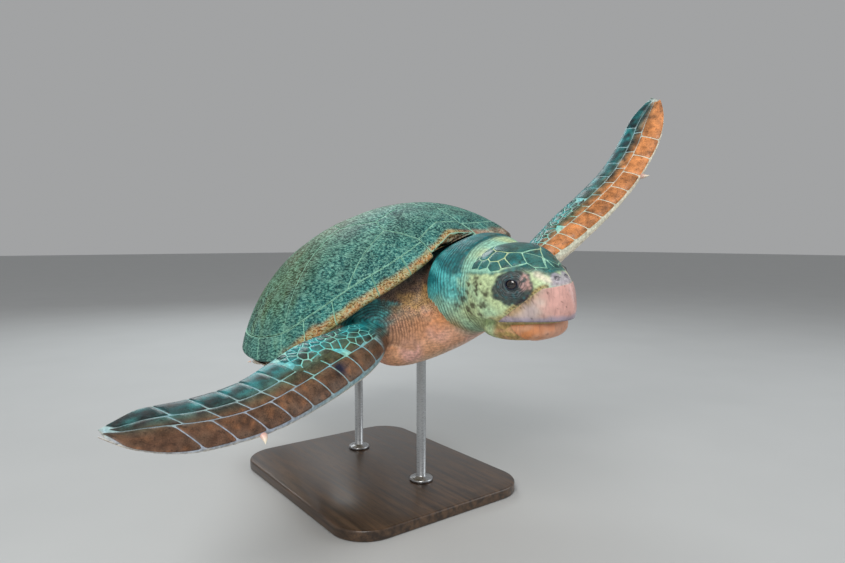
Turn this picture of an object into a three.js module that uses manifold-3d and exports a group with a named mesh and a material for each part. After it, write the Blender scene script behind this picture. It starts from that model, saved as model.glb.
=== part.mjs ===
// A life-size loggerhead turtle on a plain display stand, banking to its right as it swims.
// Millimetres. World frame: +Z up, the floor at z = 0, the origin under the middle of the base.
// The turtle heads along -Y, with its left side towards +X.
// In the turtle's own frame x is its left, y is backwards and z is towards its back (dorsal).

import * as THREE from "three";
import { mergeVertices } from "three/addons/utils/BufferGeometryUtils.js";
import Module from "manifold-3d";

const wasm = await Module();
wasm.setup();

// ---------------------------------------------------------------- driving dimensions

const PITCH_UP = THREE.MathUtils.degToRad(10);
const BANK_RIGHT = THREE.MathUtils.degToRad(19);
const ORIGIN_HEIGHT = 500; // of the turtle's own origin over the floor

const GAP = 0.5; // between neighbouring solids
const SEAM = 1.2; // between neighbouring shell plates

// The shell is a dome over a dish that share one rim.
const SHELL = { front: 388, rear: 500, halfWidth: 360, rise: 208, depth: 134 };
const FRONT_BLUNTNESS = 0.79; // powers of the rim's plan curve: below 1 is fuller than an ellipse
const SHOULDER_FULLNESS = 0.95;
const REAR_TAPER = 1.15;
const DOME_FULLNESS = 2.36; // how far out the dome keeps its height
const DOME_ROUNDING = 0.85;
const DOME_FORWARD_LEAN = 0.38; // extra height forward of the middle, per metre
const DISH_INSET = 0.985; // the dish is this much smaller than the dome, so that the rim overhangs it
const DISH_STEEPNESS = { side: 5.2, front: 8 }; // powers of the dish's rise from its floor to the rim
const DISH_END_RISE = 14; // how far the dish's floor rises to its front and rear
// The rim's height at angles round it from the front.
const RIM_RISE = [
  [0, 88], [12, 62], [24, 44], [40, 26], [60, -6], [82, -36], [112, -17], [146, -2], [180, 4],
];
const CARAPACE_THICKNESS = 15;
const PLASTRON_THICKNESS = 12;
const MARGINAL_SEAM_REACH = 0.92; // share of the way from the middle to the rim
const SHELL_TURNS = 28; // facets round the shell
const DOME_RINGS = [0, 0.3, 0.54, 0.73, 0.86, 0.94, 1]; // and their rings, out to the rim
const DISH_RINGS = [0, 0.5, 0.76, 0.87, 0.94, 1];

// Vertebral plates: their cross seams and the half-widths there, then the side corners between them.
const VERTEBRAL_SEAMS = [[346, 62], [222, 66], [62, 78], [-112, 74], [-270, 60], [-480, 44]];
const VERTEBRAL_CORNERS = [[268, 84], [132, 108], [-28, 112], [-196, 96], [-348, 70]];
// Where the seam between two costal plates meets the marginal plates.
const COSTAL_SEAM_ENDS = [[276, 214], [92, 348], [-104, 352], [-292, 262]];
const COSTAL_FRONT_CORNERS = [[400, 330], [420, 82]]; // beyond the rim, where the first costal's room ends
const COSTAL_REAR_CORNERS = [[-520, 40], [-520, 330]]; // and the last one's
const NUCHAL_HALF_ANGLE = 10;
const MARGINAL_SEAMS = [20, 33, 51, 66, 80, 94, 107, 120, 133, 146, 159, 170];
const MARGINAL_GROOVE = { radius: 2.2, length: 90, lift: 12 };

// Plastron outline, from the throat to the tail: distance forward and half-width.
const PLASTRON_OUTLINE = [
  [298, 20], [286, 62], [236, 118], [158, 178], [120, 232], [104, 380],
  [-134, 380], [-156, 226], [-214, 152], [-314, 96], [-392, 56], [-408, 20],
];
const PLASTRON_SEAMS = [236, 142, 36, -94, -226, -330];
const PLASTRON_PLATES = ["gular", "humeral", "pectoral", "abdominal", "femoral", "anal"];
const BRIDGE = { inner: 214, outer: 420, front: 150, rear: -190 };

// The head, in a frame of its own at the back of the skull.
const HEAD_AT = { forward: 424, left: 10, up: -42 };
const HEAD_TURN = new THREE.Euler(...[8, 11.5, -6].map(THREE.MathUtils.degToRad), "ZXY");
const EYE = { forward: 145, side: 60, up: 28, radius: 17 };
const MOUTH_CORNER = { forward: 112, up: -42 };
const MOUTH_FRONT_UP = -50;
// Where the horn of the beak ends and skin begins, as [forward, up] in side view.
const UPPER_BEAK_EDGE = [[120, -42], [158, -14], [200, 18], [300, 26]];
const LOWER_BEAK_EDGE = [[138, -20], [138, -42], [172, -140]];

const FAR = 600; // beyond every solid, for the prisms and blocks that cut them

// ---------------------------------------------------------------- helpers

const degrees = THREE.MathUtils.degToRad;
const spot = (forward, left, up) => new THREE.Vector3(left, -forward, up);

// A smooth curve through [[x, value, value...], ...] rows, with x rising or falling; gives the values at x.
function through(rows, x) {
  const rising = rows[0][0] < rows[rows.length - 1][0] ? rows : [...rows].reverse();
  const last = rising.length - 1;
  if (x <= rising[0][0]) return rising[0].slice(1);
  if (x >= rising[last][0]) return rising[last].slice(1);
  const i = rising.findIndex((row) => row[0] > x) - 1;
  const [a, b] = [rising[i], rising[i + 1]];
  const span = b[0] - a[0];
  const t = (x - a[0]) / span;
  const slope = (k, j) => {
    const before = rising[Math.max(0, k - 1)];
    const after = rising[Math.min(last, k + 1)];
    return (after[j] - before[j]) / (after[0] - before[0]);
  };
  return a.slice(1).map((value, n) => {
    const j = n + 1;
    const rise = b[j] - value;
    return value + rise * t * t * (3 - 2 * t)
      + span * t * (1 - t) * (slope(i, j) * (1 - t) - slope(i + 1, j) * t);
  });
}

// A closed skin: a sphere whose points are moved to pointAt(share from pole to pole, turn round it).
function closedSkin(around, along, pointAt) {
  const geometry = new THREE.SphereGeometry(1, around, along);
  const { position, uv } = geometry.attributes;
  for (let i = 0; i < position.count; i++) {
    const share = 1 - uv.getY(i);
    const p = pointAt(share, uv.getX(i) * 2 * Math.PI);
    position.setXYZ(i, p.x, p.y, p.z);
  }
  return geometry;
}

function solidOf(geometry, matrix = new THREE.Matrix4()) {
  const bare = new THREE.BufferGeometry();
  bare.setAttribute("position", geometry.getAttribute("position").clone());
  bare.setIndex(geometry.getIndex());
  bare.applyMatrix4(matrix);
  const merged = mergeVertices(bare, 1e-3);
  const triVerts = new Uint32Array(merged.index.array);
  const build = () => new wasm.Manifold(new wasm.Mesh({
    numProp: 3, vertProperties: new Float32Array(merged.attributes.position.array), triVerts,
  }));
  let solid = build();
  if (solid.volume() < 0) {
    for (let i = 0; i < triVerts.length; i += 3) {
      [triVerts[i], triVerts[i + 1]] = [triVerts[i + 1], triVerts[i]];
    }
    solid = build();
  }
  return solid;
}

function geometryOf(solid) {
  const { vertProperties, triVerts } = solid.getMesh();
  const geometry = new THREE.BufferGeometry();
  geometry.setAttribute("position", new THREE.BufferAttribute(vertProperties, 3));
  geometry.setIndex(new THREE.BufferAttribute(triVerts, 1));
  geometry.computeVertexNormals();
  return geometry;
}

function meshOf(name, solid, material) {
  const mesh = new THREE.Mesh(geometryOf(solid), material);
  mesh.name = name;
  return mesh;
}

// A tall prism over a plan outline of [forward, left] points.
function prism(outline, low = -FAR, high = FAR) {
  const shape = new THREE.Shape(outline.map(([forward, left]) => new THREE.Vector2(left, -forward)));
  const geometry = new THREE.ExtrudeGeometry(shape, { depth: high - low, bevelEnabled: false });
  return solidOf(geometry.translate(0, 0, low));
}

// An outline drawn in by an even margin, for an outline without tight corners.
function drawnIn(outline, margin) {
  const area = outline.reduce((sum, [x, y], i) => {
    const [nx, ny] = outline[(i + 1) % outline.length];
    return sum + x * ny - nx * y;
  }, 0);
  const side = Math.sign(area) * margin;
  return outline.map((corner, i) => {
    const before = outline[(i + outline.length - 1) % outline.length];
    const after = outline[(i + 1) % outline.length];
    const inward = (from, to) => {
      const length = Math.hypot(to[0] - from[0], to[1] - from[1]);
      return [-(to[1] - from[1]) / length, (to[0] - from[0]) / length];
    };
    const [m, n] = [inward(before, corner), inward(corner, after)];
    const scale = side / (1 + m[0] * n[0] + m[1] * n[1]);
    return [corner[0] + (m[0] + n[0]) * scale, corner[1] + (m[1] + n[1]) * scale];
  });
}

// ---------------------------------------------------------------- shell surfaces

// A point of the rim's plan outline, turn 0 at the front and a quarter turn at the left side.
function rimPlan(turn) {
  const [c, s] = [Math.cos(turn), Math.sin(turn)];
  const forward = c > 0 ? SHELL.front * c ** FRONT_BLUNTNESS : SHELL.rear * c;
  const left = SHELL.halfWidth * Math.sign(s) * Math.abs(s) ** (c > 0 ? SHOULDER_FULLNESS : REAR_TAPER);
  return [forward, left];
}

function rimUp(turn) {
  const fold = Math.abs(Math.atan2(Math.sin(turn), Math.cos(turn)));
  return through(RIM_RISE, THREE.MathUtils.radToDeg(fold))[0];
}

function domePoint(turn, reach) {
  const [forward, left] = rimPlan(turn).map((value) => value * reach);
  const crown = Math.max(0, 1 - reach ** DOME_FULLNESS) ** DOME_ROUNDING;
  return spot(forward, left, rimUp(turn) * reach ** 3
    + SHELL.rise * crown * (1 + DOME_FORWARD_LEAN * forward / 1000));
}

// The dish under the rim: flat below, rising at the sides as the bridge and at the ends as skin.
function dishPoint(turn, reach) {
  const [forward, left] = rimPlan(turn).map((value) => value * reach * DISH_INSET);
  const frontness = Math.max(0, Math.cos(turn)) ** 2;
  const steep = THREE.MathUtils.lerp(DISH_STEEPNESS.side, DISH_STEEPNESS.front, frontness);
  const bottom = -SHELL.depth + DISH_END_RISE * (reach * Math.cos(turn)) ** 2;
  return spot(forward, left, bottom + (rimUp(turn) - 1 - bottom) * reach ** steep);
}

// A point moved by a depth along the surface's inward normal, found from its neighbours.
function sunk(surface, turn, reach, depth, inwardUp) {
  const point = surface(turn, reach);
  const vertical = new THREE.Vector3(0, 0, inwardUp * depth);
  if (reach < 0.02) return point.add(vertical);
  const step = 0.004;
  const aroundEdge = surface(turn + step, reach).sub(surface(turn - step, reach));
  const outward = surface(turn, Math.min(1, reach + step)).sub(surface(turn, reach - step));
  const normal = aroundEdge.cross(outward).normalize();
  if (normal.z * inwardUp < 0) normal.negate();
  return point.addScaledVector(normal, depth);
}

// A solid between an outer and an inner sheet, each with rings of its own, met at the last ring.
function betweenSheets(outerRings, outerPoint, innerRings, innerPoint) {
  const turnBack = outerRings.length - 1;
  const steps = turnBack + innerRings.length - 1;
  return solidOf(closedSkin(SHELL_TURNS, steps, (share, turn) => {
    const step = Math.round(share * steps);
    if (step <= turnBack) return outerPoint(turn, outerRings[step]);
    return innerPoint(turn, innerRings[steps - step]);
  }));
}

function shellPlate(surface, rings, outset, thickness, inwardUp) {
  return betweenSheets(rings, (turn, reach) => sunk(surface, turn, reach, -outset, inwardUp),
    rings, (turn, reach) => sunk(surface, turn, reach, thickness, inwardUp));
}

const carapaceShell = (grow) => shellPlate(domePoint, DOME_RINGS, grow, CARAPACE_THICKNESS + grow, -1);
const plastronShell = (grow) => shellPlate(dishPoint, DISH_RINGS, grow, PLASTRON_THICKNESS + grow, 1);

// ---------------------------------------------------------------- shell plates

const mirrored = (outline) => outline.map(([forward, left]) => [forward, -left]);

function ringOutline(reach) {
  return Array.from({ length: SHELL_TURNS }, (_, i) =>
    rimPlan(i * 2 * Math.PI / SHELL_TURNS).map((v) => v * reach));
}

function vertebralOutline(i) {
  const [front, frontHalf] = VERTEBRAL_SEAMS[i];
  const [rear, rearHalf] = VERTEBRAL_SEAMS[i + 1];
  const [middle, half] = VERTEBRAL_CORNERS[i];
  const leftSide = [[front, frontHalf], [middle, half], [rear, rearHalf]];
  return [...leftSide, ...mirrored(leftSide).reverse()];
}

// The costal plate beside vertebrals i - 1 and i, run out past the marginal seam, on the left side.
function costalOutline(i) {
  const seamFront = COSTAL_SEAM_ENDS[i - 1];
  const seamRear = COSTAL_SEAM_ENDS[i];
  const runOut = ([forward, left]) => [forward * 1.02 - 4, left * 1.35];
  if (i === 0) {
    return [VERTEBRAL_SEAMS[0], VERTEBRAL_CORNERS[0], seamRear, runOut(seamRear), ...COSTAL_FRONT_CORNERS];
  }
  const inner = [VERTEBRAL_CORNERS[i - 1], VERTEBRAL_SEAMS[i], VERTEBRAL_CORNERS[i]];
  if (i === COSTAL_SEAM_ENDS.length) {
    return [...inner, VERTEBRAL_SEAMS[i + 1], ...COSTAL_REAR_CORNERS, runOut(seamFront), seamFront];
  }
  return [...inner, seamRear, runOut(seamRear), runOut(seamFront), seamFront];
}

// Narrow wedges that mark the seams of the marginal plates in the rim.
function marginalGrooves(side) {
  const grooves = MARGINAL_SEAMS.map((angle) => {
    const turn = degrees(angle) * side;
    const { x, y, z } = domePoint(turn, (1 + MARGINAL_SEAM_REACH) / 2);
    const { radius, length, lift } = MARGINAL_GROOVE;
    const groove = new THREE.CylinderGeometry(radius, radius, length, 3);
    const matrix = new THREE.Matrix4().makeTranslation(x, y, z + lift);
    const lean = domePoint(turn, 1).sub(domePoint(turn, MARGINAL_SEAM_REACH)).normalize();
    const turned = new THREE.Quaternion().setFromUnitVectors(new THREE.Vector3(0, 1, 0), lean);
    return solidOf(groove, matrix.multiply(new THREE.Matrix4().makeRotationFromQuaternion(turned)));
  });
  return grooves.reduce((all, groove) => all.add(groove));
}

function buildCarapace(materials) {
  const shell = carapaceShell(0);
  const core = shell.intersect(prism(drawnIn(ringOutline(MARGINAL_SEAM_REACH), SEAM / 2)));
  const ring = shell.subtract(prism(drawnIn(ringOutline(MARGINAL_SEAM_REACH), -SEAM / 2)));
  const plates = [];
  const cut = (name, outline, from = core) =>
    plates.push(meshOf(name, from.intersect(prism(drawnIn(outline, SEAM / 2))), materials.scute));
  for (let i = 0; i < 5; i++) {
    cut(`vertebral_${i + 1}`, vertebralOutline(i));
    cut(`costal_left_${i + 1}`, costalOutline(i));
    cut(`costal_right_${i + 1}`, mirrored(costalOutline(i)));
  }
  const edge = degrees(NUCHAL_HALF_ANGLE);
  const [cornerForward, cornerLeft] = rimPlan(edge).map((value) => value * 1.2); // beyond the rim
  const [front, frontHalf] = VERTEBRAL_SEAMS[0];
  const nuchalOutline = [[cornerForward, cornerLeft], [front, frontHalf], [front, -frontHalf],
    [cornerForward, -cornerLeft]];
  cut("nuchal", nuchalOutline, shell);
  const nuchalRoom = prism(drawnIn(nuchalOutline, -SEAM / 2));
  for (const [name, side] of [["left", 1], ["right", -1]]) {
    const [middle, beyond] = [side * SEAM / 2, side * FAR];
    const half = prism([[FAR, middle], [FAR, beyond], [-FAR, beyond], [-FAR, middle]]);
    const row = ring.intersect(half).subtract(nuchalRoom).subtract(marginalGrooves(side));
    plates.push(meshOf(`marginals_${name}`, row, materials.scute));
  }
  return plates;
}

function buildPlastron(materials) {
  const shell = plastronShell(0).subtract(carapaceShell(GAP));
  const plates = [];
  const seams = [FAR, ...PLASTRON_SEAMS.slice(0, -1), -FAR];
  for (const [name, side] of [["left", 1], ["right", -1]]) {
    const outline = [[PLASTRON_OUTLINE[0][0], 0], ...PLASTRON_OUTLINE, [PLASTRON_OUTLINE.at(-1)[0], 0]]
      .map(([forward, left]) => [forward, left * side]);
    const half = shell.intersect(prism(drawnIn(outline, SEAM / 2)));
    const box = (front, rear, inner, outer) => prism(drawnIn(
      [[front, inner * side], [front, outer * side], [rear, outer * side], [rear, inner * side]], SEAM / 2));
    const add = (plate, room) =>
      plates.push(meshOf(`${plate}_${name}`, half.intersect(room), materials.plastron));
    add("bridge", box(BRIDGE.front, BRIDGE.rear, BRIDGE.inner, BRIDGE.outer));
    PLASTRON_PLATES.forEach((plate, i) => add(plate, box(seams[i], seams[i + 1], 0, BRIDGE.inner)));
  }
  return plates;
}

// ---------------------------------------------------------------- flesh

// The flesh that fills the shell: the dome's inner face above, the dish's inner face below.
function trunkSolid() {
  return betweenSheets(
    DOME_RINGS.slice(0, -1), (turn, reach) => sunk(domePoint, turn, reach, CARAPACE_THICKNESS + GAP, -1),
    DISH_RINGS.slice(0, -1), (turn, reach) => sunk(dishPoint, turn, reach, PLASTRON_THICKNESS + GAP, 1));
}

// A limb or neck along a straight run from pole to pole, each section a rounded flat oval.
// section(share) gives {centre, across, thick, left, right, top, bottom}, sizes along unit vectors.
function limbSolid(around, along, section, roundness = 0.5) {
  return solidOf(closedSkin(around, along, (share, turn) => {
    const eased = share - 0.55 * Math.sin(2 * Math.PI * share) / (2 * Math.PI);
    const cap = Math.sin(Math.PI * share) ** roundness;
    const { centre, across, thick, left, right, top, bottom, square = 1 } = section(eased);
    const round = (value) => Math.sign(value) * Math.abs(value) ** square;
    const [c, s] = [round(Math.cos(turn)), round(Math.sin(turn))];
    return centre.clone()
      .addScaledVector(across, cap * c * (c > 0 ? left : right))
      .addScaledVector(thick, cap * s * (s > 0 ? top : bottom));
  }));
}

const UP = new THREE.Vector3(0, 0, 1);
const LEFT = new THREE.Vector3(1, 0, 0);

// Neck stations: forward, centre left, half-width, top, bottom.
const NECK = [
  [230, 0, 100, 40, -110], [310, 0, 104, 54, -120], [370, 3, 110, 70, -124], [408, 6, 115, 77, -126],
  [440, 9, 109, 77, -126], [480, 12, 100, 71, -121], [520, 13, 88, 56, -106],
];
// The chest skin in front of and beside the plastron: forward, half-width, top, bottom.
const CHEST = [
  [120, 180, -10, -136], [220, 214, 10, -145], [285, 212, 10, -150], [345, 152, 0, -146],
  [400, 104, -20, -133], [450, 72, -50, -120],
];

function neckSolid(grow) {
  return limbSolid(16, 9, (share) => {
    const forward = THREE.MathUtils.lerp(NECK[0][0] - grow, NECK.at(-1)[0] + grow, share);
    const [left, half, top, bottom] = through(NECK, forward);
    const middle = (top + bottom) / 2;
    return {
      centre: spot(forward, left, middle), across: LEFT, thick: UP, left: half + grow, right: half + grow,
      top: top - middle + grow, bottom: middle - bottom + grow, square: 0.82,
    };
  }, 0.35);
}

function chestSolid() {
  return limbSolid(16, 7, (share) => {
    const forward = THREE.MathUtils.lerp(CHEST[0][0], CHEST.at(-1)[0], share);
    const [half, top, bottom] = through(CHEST, forward);
    const middle = (top + bottom) / 2;
    return {
      centre: spot(forward, 0, middle), across: LEFT, thick: UP, left: half, right: half,
      top: top - middle, bottom: middle - bottom, square: 0.6,
    };
  }, 0.35);
}

// Head stations: forward, half-width, top, bottom, all to the chin line.
const HEAD = [
  [-30, 92, 80, -84], [10, 102, 94, -94], [50, 106, 99, -98], [90, 102, 98, -97], [126, 90, 91, -93],
  [160, 71, 78, -87], [190, 57, 65, -80], [214, 43, 53, -76], [233, 22, 26, -64],
];
// The lower jaw, narrower and shorter than the head over it.
const JAW = [
  [20, 84, -34, -92], [80, 84, -34, -95], [130, 70, -34, -94], [170, 50, -34, -90],
  [196, 31, -34, -82], [207, 14, -36, -66],
];
const HEAD_SQUARENESS = 0.85; // power of the sections' rounding: below 1 is squarer than an oval

function headLoft(stations, grow) {
  return limbSolid(18, 13, (share) => {
    const forward = THREE.MathUtils.lerp(stations[0][0] - grow, stations.at(-1)[0] + grow, share);
    const [half, top, bottom] = through(stations, forward);
    const middle = (top + bottom) / 2;
    return {
      centre: spot(forward, 0, middle), across: LEFT, thick: UP, left: half + grow, right: half + grow,
      top: top - middle + grow, bottom: middle - bottom + grow, square: HEAD_SQUARENESS,
    };
  }, 0.42);
}

// A prism right across the head over an outline of [forward, up] points in side view.
function sidePrism(outline) {
  const shape = new THREE.Shape(outline.map(([forward, up]) => new THREE.Vector2(-forward, up)));
  const geometry = new THREE.ExtrudeGeometry(shape, { depth: FAR, bevelEnabled: false });
  geometry.translate(0, 0, -FAR / 2).rotateX(Math.PI / 2).rotateZ(Math.PI / 2);
  return solidOf(geometry);
}

function buildHead(materials) {
  const [front, below] = [300, -140]; // beyond the snout and the chin
  const belowMouth = (lift) => sidePrism([[MOUTH_CORNER.forward - 2 * lift, MOUTH_CORNER.up + lift],
    [front, MOUTH_FRONT_UP + lift], [front, below], [MOUTH_CORNER.forward - 30, below]]);
  const upperEdge = (back) => UPPER_BEAK_EDGE.map(([forward, up]) => [forward - back, up + back]);
  const upperBeakRoom = (back) => sidePrism([...upperEdge(back), [front, below],
    [UPPER_BEAK_EDGE[0][0] - back, below]]);
  const lowerEdge = (back) => LOWER_BEAK_EDGE.map(([forward, up]) => [forward - back, up]);
  const lowerBeakRoom = (back) => sidePrism([...lowerEdge(back), [front, below],
    [front, LOWER_BEAK_EDGE[0][1]]]);
  const jaw = headLoft(JAW, 0).intersect(belowMouth(-GAP / 2));
  const cranium = headLoft(HEAD, 0).subtract(belowMouth(GAP / 2));
  const eyes = [["left", 1], ["right", -1]].map(([name, side]) => {
    const ball = (radius) => solidOf(new THREE.SphereGeometry(radius, 10, 7)
      .translate(side * EYE.side, -EYE.forward, EYE.up));
    return { name, ball };
  });
  let skull = cranium.subtract(upperBeakRoom(GAP));
  for (const { ball } of eyes) skull = skull.subtract(ball(EYE.radius + GAP));
  const group = new THREE.Group();
  group.add(
    meshOf("head", skull, materials.skin),
    meshOf("lower_jaw", jaw.subtract(lowerBeakRoom(GAP)), materials.skin),
    meshOf("beak_upper", cranium.intersect(upperBeakRoom(0)), materials.horn),
    meshOf("beak_lower", jaw.intersect(lowerBeakRoom(0)), materials.horn),
    ...eyes.map(({ name, ball }) => meshOf(`eye_${name}`, ball(EYE.radius), materials.eye)),
  );
  group.position.copy(spot(HEAD_AT.forward, HEAD_AT.left, HEAD_AT.up));
  group.rotation.copy(HEAD_TURN);
  group.updateMatrix();
  return group;
}

// ---------------------------------------------------------------- limbs

// Front flipper plan: share of its length, chord, the chord's offset towards the trailing edge, thickness.
const FRONT_PLAN = [
  [-0.035, 120, -5, 100], [0.14, 138, -11, 84], [0.3, 146, -5, 62], [0.45, 134, -6, 46], [0.6, 123, -3, 36],
  [0.75, 124, 17, 28], [0.87, 129, 42, 20], [0.95, 102, 60, 14], [1, 66, 80, 9],
];
const FRONT_LENGTH = 578;
// Each side's shoulder, sweep forward, lift, pronation, curve of the blade towards its back, and twist.
const FRONT_POSE = {
  left: {
    side: 1, shoulder: spot(299, 230, -72), sweep: 25.6, lift: 17, pronation: 12.1,
    bend: [60, 41], twist: 32,
  },
  right: {
    side: -1, shoulder: spot(267, -206, -40), sweep: 16.9, lift: 0.8, pronation: 43.7,
    bend: [-27, 48], twist: 8.3,
  },
};

// Hind flipper plan and pose, in the same terms; the sweep is measured backwards.
const HIND_PLAN = [
  [-0.02, 92, 0, 66], [0.2, 96, 0, 52], [0.4, 104, 4, 38], [0.6, 132, 12, 26], [0.8, 142, 18, 18],
  [0.93, 112, 20, 12], [1, 58, 20, 8],
];
const HIND_LENGTH = 300;
const HIND_POSE = {
  left: {
    side: 1, shoulder: spot(-318, 150, -62), sweep: -64, lift: -10, pronation: 16,
    bend: [-10, 20], twist: -8,
  },
  right: {
    side: -1, shoulder: spot(-322, -132, -66), sweep: -86, lift: -14, pronation: -24,
    bend: [0, 10], twist: 0,
  },
};

// Where a share along the flipper lies, and the directions along its chord and through its thickness.
function flipperFrame(pose, length, plan, share) {
  const [sweep, lift] = [degrees(pose.sweep), degrees(pose.lift)];
  const level = Math.cos(lift);
  const along = spot(Math.sin(sweep) * level, pose.side * Math.cos(sweep) * level, Math.sin(lift));
  const flat = new THREE.Vector3().crossVectors(UP, along).multiplyScalar(pose.side).normalize();
  const dorsal = new THREE.Vector3().crossVectors(flat, along).normalize();
  if (dorsal.z < 0) dorsal.negate();
  const roll = degrees(pose.pronation + pose.twist * share);
  const chord = flat.clone().multiplyScalar(Math.cos(roll)).addScaledVector(dorsal, Math.sin(roll));
  const thick = dorsal.clone().multiplyScalar(Math.cos(roll)).addScaledVector(flat, -Math.sin(roll));
  const [width, offset, thickness] = through(plan, share);
  const centre = pose.shoulder.clone().addScaledVector(along, share * length).addScaledVector(chord, offset)
    .addScaledVector(thick, pose.bend[0] * share ** 2 + pose.bend[1] * share ** 3);
  return { centre, chord, thick, width, thickness };
}

function flipperSolid(pose, length, plan, grow, segments) {
  return limbSolid(segments[0], segments[1], (share) => {
    const place = THREE.MathUtils.lerp(plan[0][0], 1, share);
    const { centre, chord, thick, width, thickness } = flipperFrame(pose, length, plan, place);
    return {
      centre, across: chord, thick, left: width / 2 + grow, right: width / 2 + grow,
      top: thickness * 0.56 + grow, bottom: thickness * 0.44 + grow,
    };
  }, 0.42);
}

const FRONT_CLAW = { share: { left: 0.665, right: 0.648 }, size: 26 };
const HIND_CLAWS = [{ share: 0.62, size: 17 }, { share: 0.78, size: 14 }];

// A claw: a small curved horn that stands out of the leading edge.
function clawSolid(pose, length, plan, share, size) {
  const { centre, chord, thick, width } = flipperFrame(pose, length, plan, share);
  const root = centre.clone().addScaledVector(chord, -width / 2 + size * 0.3);
  const outward = chord.clone().negate();
  const tipward = flipperFrame(pose, length, plan, share + 0.02).centre.sub(centre).normalize();
  return limbSolid(6, 4, (along) => {
    const half = size * 0.24 * (1 - 0.86 * along);
    const curve = tipward.clone().multiplyScalar(size * 0.42 * along * along);
    return {
      centre: root.clone().addScaledVector(outward, size * 1.25 * along).add(curve), across: tipward, thick,
      left: half, right: half, top: half * 0.8, bottom: half * 0.8,
    };
  });
}

// Tail stations: forward, half-width, half-height.
const TAIL = [[-372, 46, 44], [-430, 36, 36], [-490, 26, 26], [-556, 9, 9]];
const TAIL_UP = { root: -62, tip: -88 };

function tailSolid(grow) {
  return limbSolid(8, 6, (share) => {
    const forward = THREE.MathUtils.lerp(TAIL[0][0] + grow, TAIL[3][0] - grow, share);
    const [half, deep] = through(TAIL, forward);
    return {
      centre: spot(forward, 0, THREE.MathUtils.lerp(TAIL_UP.root, TAIL_UP.tip, share)),
      across: LEFT, thick: UP,
      left: half + grow, right: half + grow, top: deep + grow, bottom: deep + grow,
    };
  });
}

// ---------------------------------------------------------------- stand

const BASE = { width: 520, depth: 640, height: 26, corner: 90, bevel: 5 };
const ROD_RADIUS = 12;
const FOOT = { radius: 30, height: 8, cone: 6 };
const PAD = { radius: 27, reach: 26, cone: 16 }; // reach is how far it goes up and down from the plastron
const RODS = { front: 130, rear: -190 }; // how far forward each meets the plastron, on its midline

function baseMesh(material) {
  const [w, d, r] = [BASE.width / 2 - BASE.bevel, BASE.depth / 2 - BASE.bevel, BASE.corner];
  const shape = new THREE.Shape();
  shape.moveTo(-w + r, -d).lineTo(w - r, -d).absarc(w - r, -d + r, r, -Math.PI / 2, 0)
    .lineTo(w, d - r).absarc(w - r, d - r, r, 0, Math.PI / 2)
    .lineTo(-w + r, d).absarc(-w + r, d - r, r, Math.PI / 2, Math.PI)
    .lineTo(-w, -d + r).absarc(-w + r, -d + r, r, Math.PI, Math.PI * 1.5);
  const geometry = new THREE.ExtrudeGeometry(shape, {
    depth: BASE.height - BASE.bevel * 2, bevelThickness: BASE.bevel, bevelSize: BASE.bevel, bevelSegments: 1,
    curveSegments: 3,
  }).translate(0, 0, BASE.bevel);
  return meshOf("stand_base", solidOf(geometry), material);
}

// A lathe-turned rod from the base up to the plastron, with a foot below and a shaped pad on top.
function rodMesh(name, forward, toWorld, material) {
  const reach = Math.abs(forward) / (forward > 0 ? SHELL.front : SHELL.rear);
  const top = dishPoint(forward > 0 ? 0 : Math.PI, reach).applyMatrix4(toWorld);
  const foot = BASE.height + GAP;
  const footTop = foot + FOOT.height;
  const padFoot = top.z - PAD.reach;
  const padTop = top.z + PAD.reach;
  const profile = [
    [0, foot], [FOOT.radius, foot], [FOOT.radius, footTop], [ROD_RADIUS, footTop + FOOT.cone],
    [ROD_RADIUS, padFoot - PAD.cone], [PAD.radius, padFoot], [PAD.radius, padTop], [0, padTop],
  ].map(([x, y]) => new THREE.Vector2(x, y));
  const rod = solidOf(new THREE.LatheGeometry(profile, 12).rotateX(Math.PI / 2).translate(top.x, top.y, 0));
  const upward = new THREE.Matrix4().makeTranslation(0, 0, -GAP);
  const solid = solidOf(geometryOf(blockAbovePlastron()), upward.multiply(toWorld));
  return meshOf(name, rod.subtract(solid), material);
}

// Everything above the plastron's outer face, as one block to shape the rods' pads.
function blockAbovePlastron() {
  const raised = (turn, reach) => dishPoint(turn, reach).setZ(120);
  return betweenSheets(DISH_RINGS.slice(0, -1), dishPoint, [0, 1], raised);
}

// ---------------------------------------------------------------- assembly

function material(color, roughness, metalness = 0) {
  return new THREE.MeshStandardMaterial({ color, roughness, metalness });
}

const materials = {
  scute: material(0x5d6a4c, 0.6),
  plastron: material(0xd9c48c, 0.6),
  skin: material(0x9a7a56, 0.65),
  horn: material(0xe0b393, 0.45),
  claw: material(0xe6ddcb, 0.5),
  eye: material(0x14100d, 0.1),
  wood: material(0x3b2a1e, 0.5),
  steel: material(0x8d9093, 0.35, 1),
};

const turtle = new THREE.Group();
turtle.rotation.set(-PITCH_UP, -BANK_RIGHT, 0, "XYZ");
turtle.position.set(0, 0, ORIGIN_HEIGHT);
turtle.updateMatrix();

turtle.add(...buildCarapace(materials), ...buildPlastron(materials));

const headGroup = buildHead(materials);
const headRoom = solidOf(geometryOf(headLoft(HEAD, GAP)), headGroup.matrix);
const plastronPlan = [...PLASTRON_OUTLINE, ...mirrored(PLASTRON_OUTLINE).reverse()];
const shellRoom = carapaceShell(GAP)
  .add(plastronShell(GAP).intersect(prism(plastronPlan)))
  .add(prism(plastronPlan, -FAR, PLASTRON_THICKNESS - SHELL.depth));

const segments = { front: [12, 17], hind: [10, 9] };
const frontFlipper = (side, grow) =>
  flipperSolid(FRONT_POSE[side], FRONT_LENGTH, FRONT_PLAN, grow, segments.front).subtract(shellRoom);
const hindFlipper = (side, grow) =>
  flipperSolid(HIND_POSE[side], HIND_LENGTH, HIND_PLAN, grow, segments.hind).subtract(shellRoom);

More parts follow.
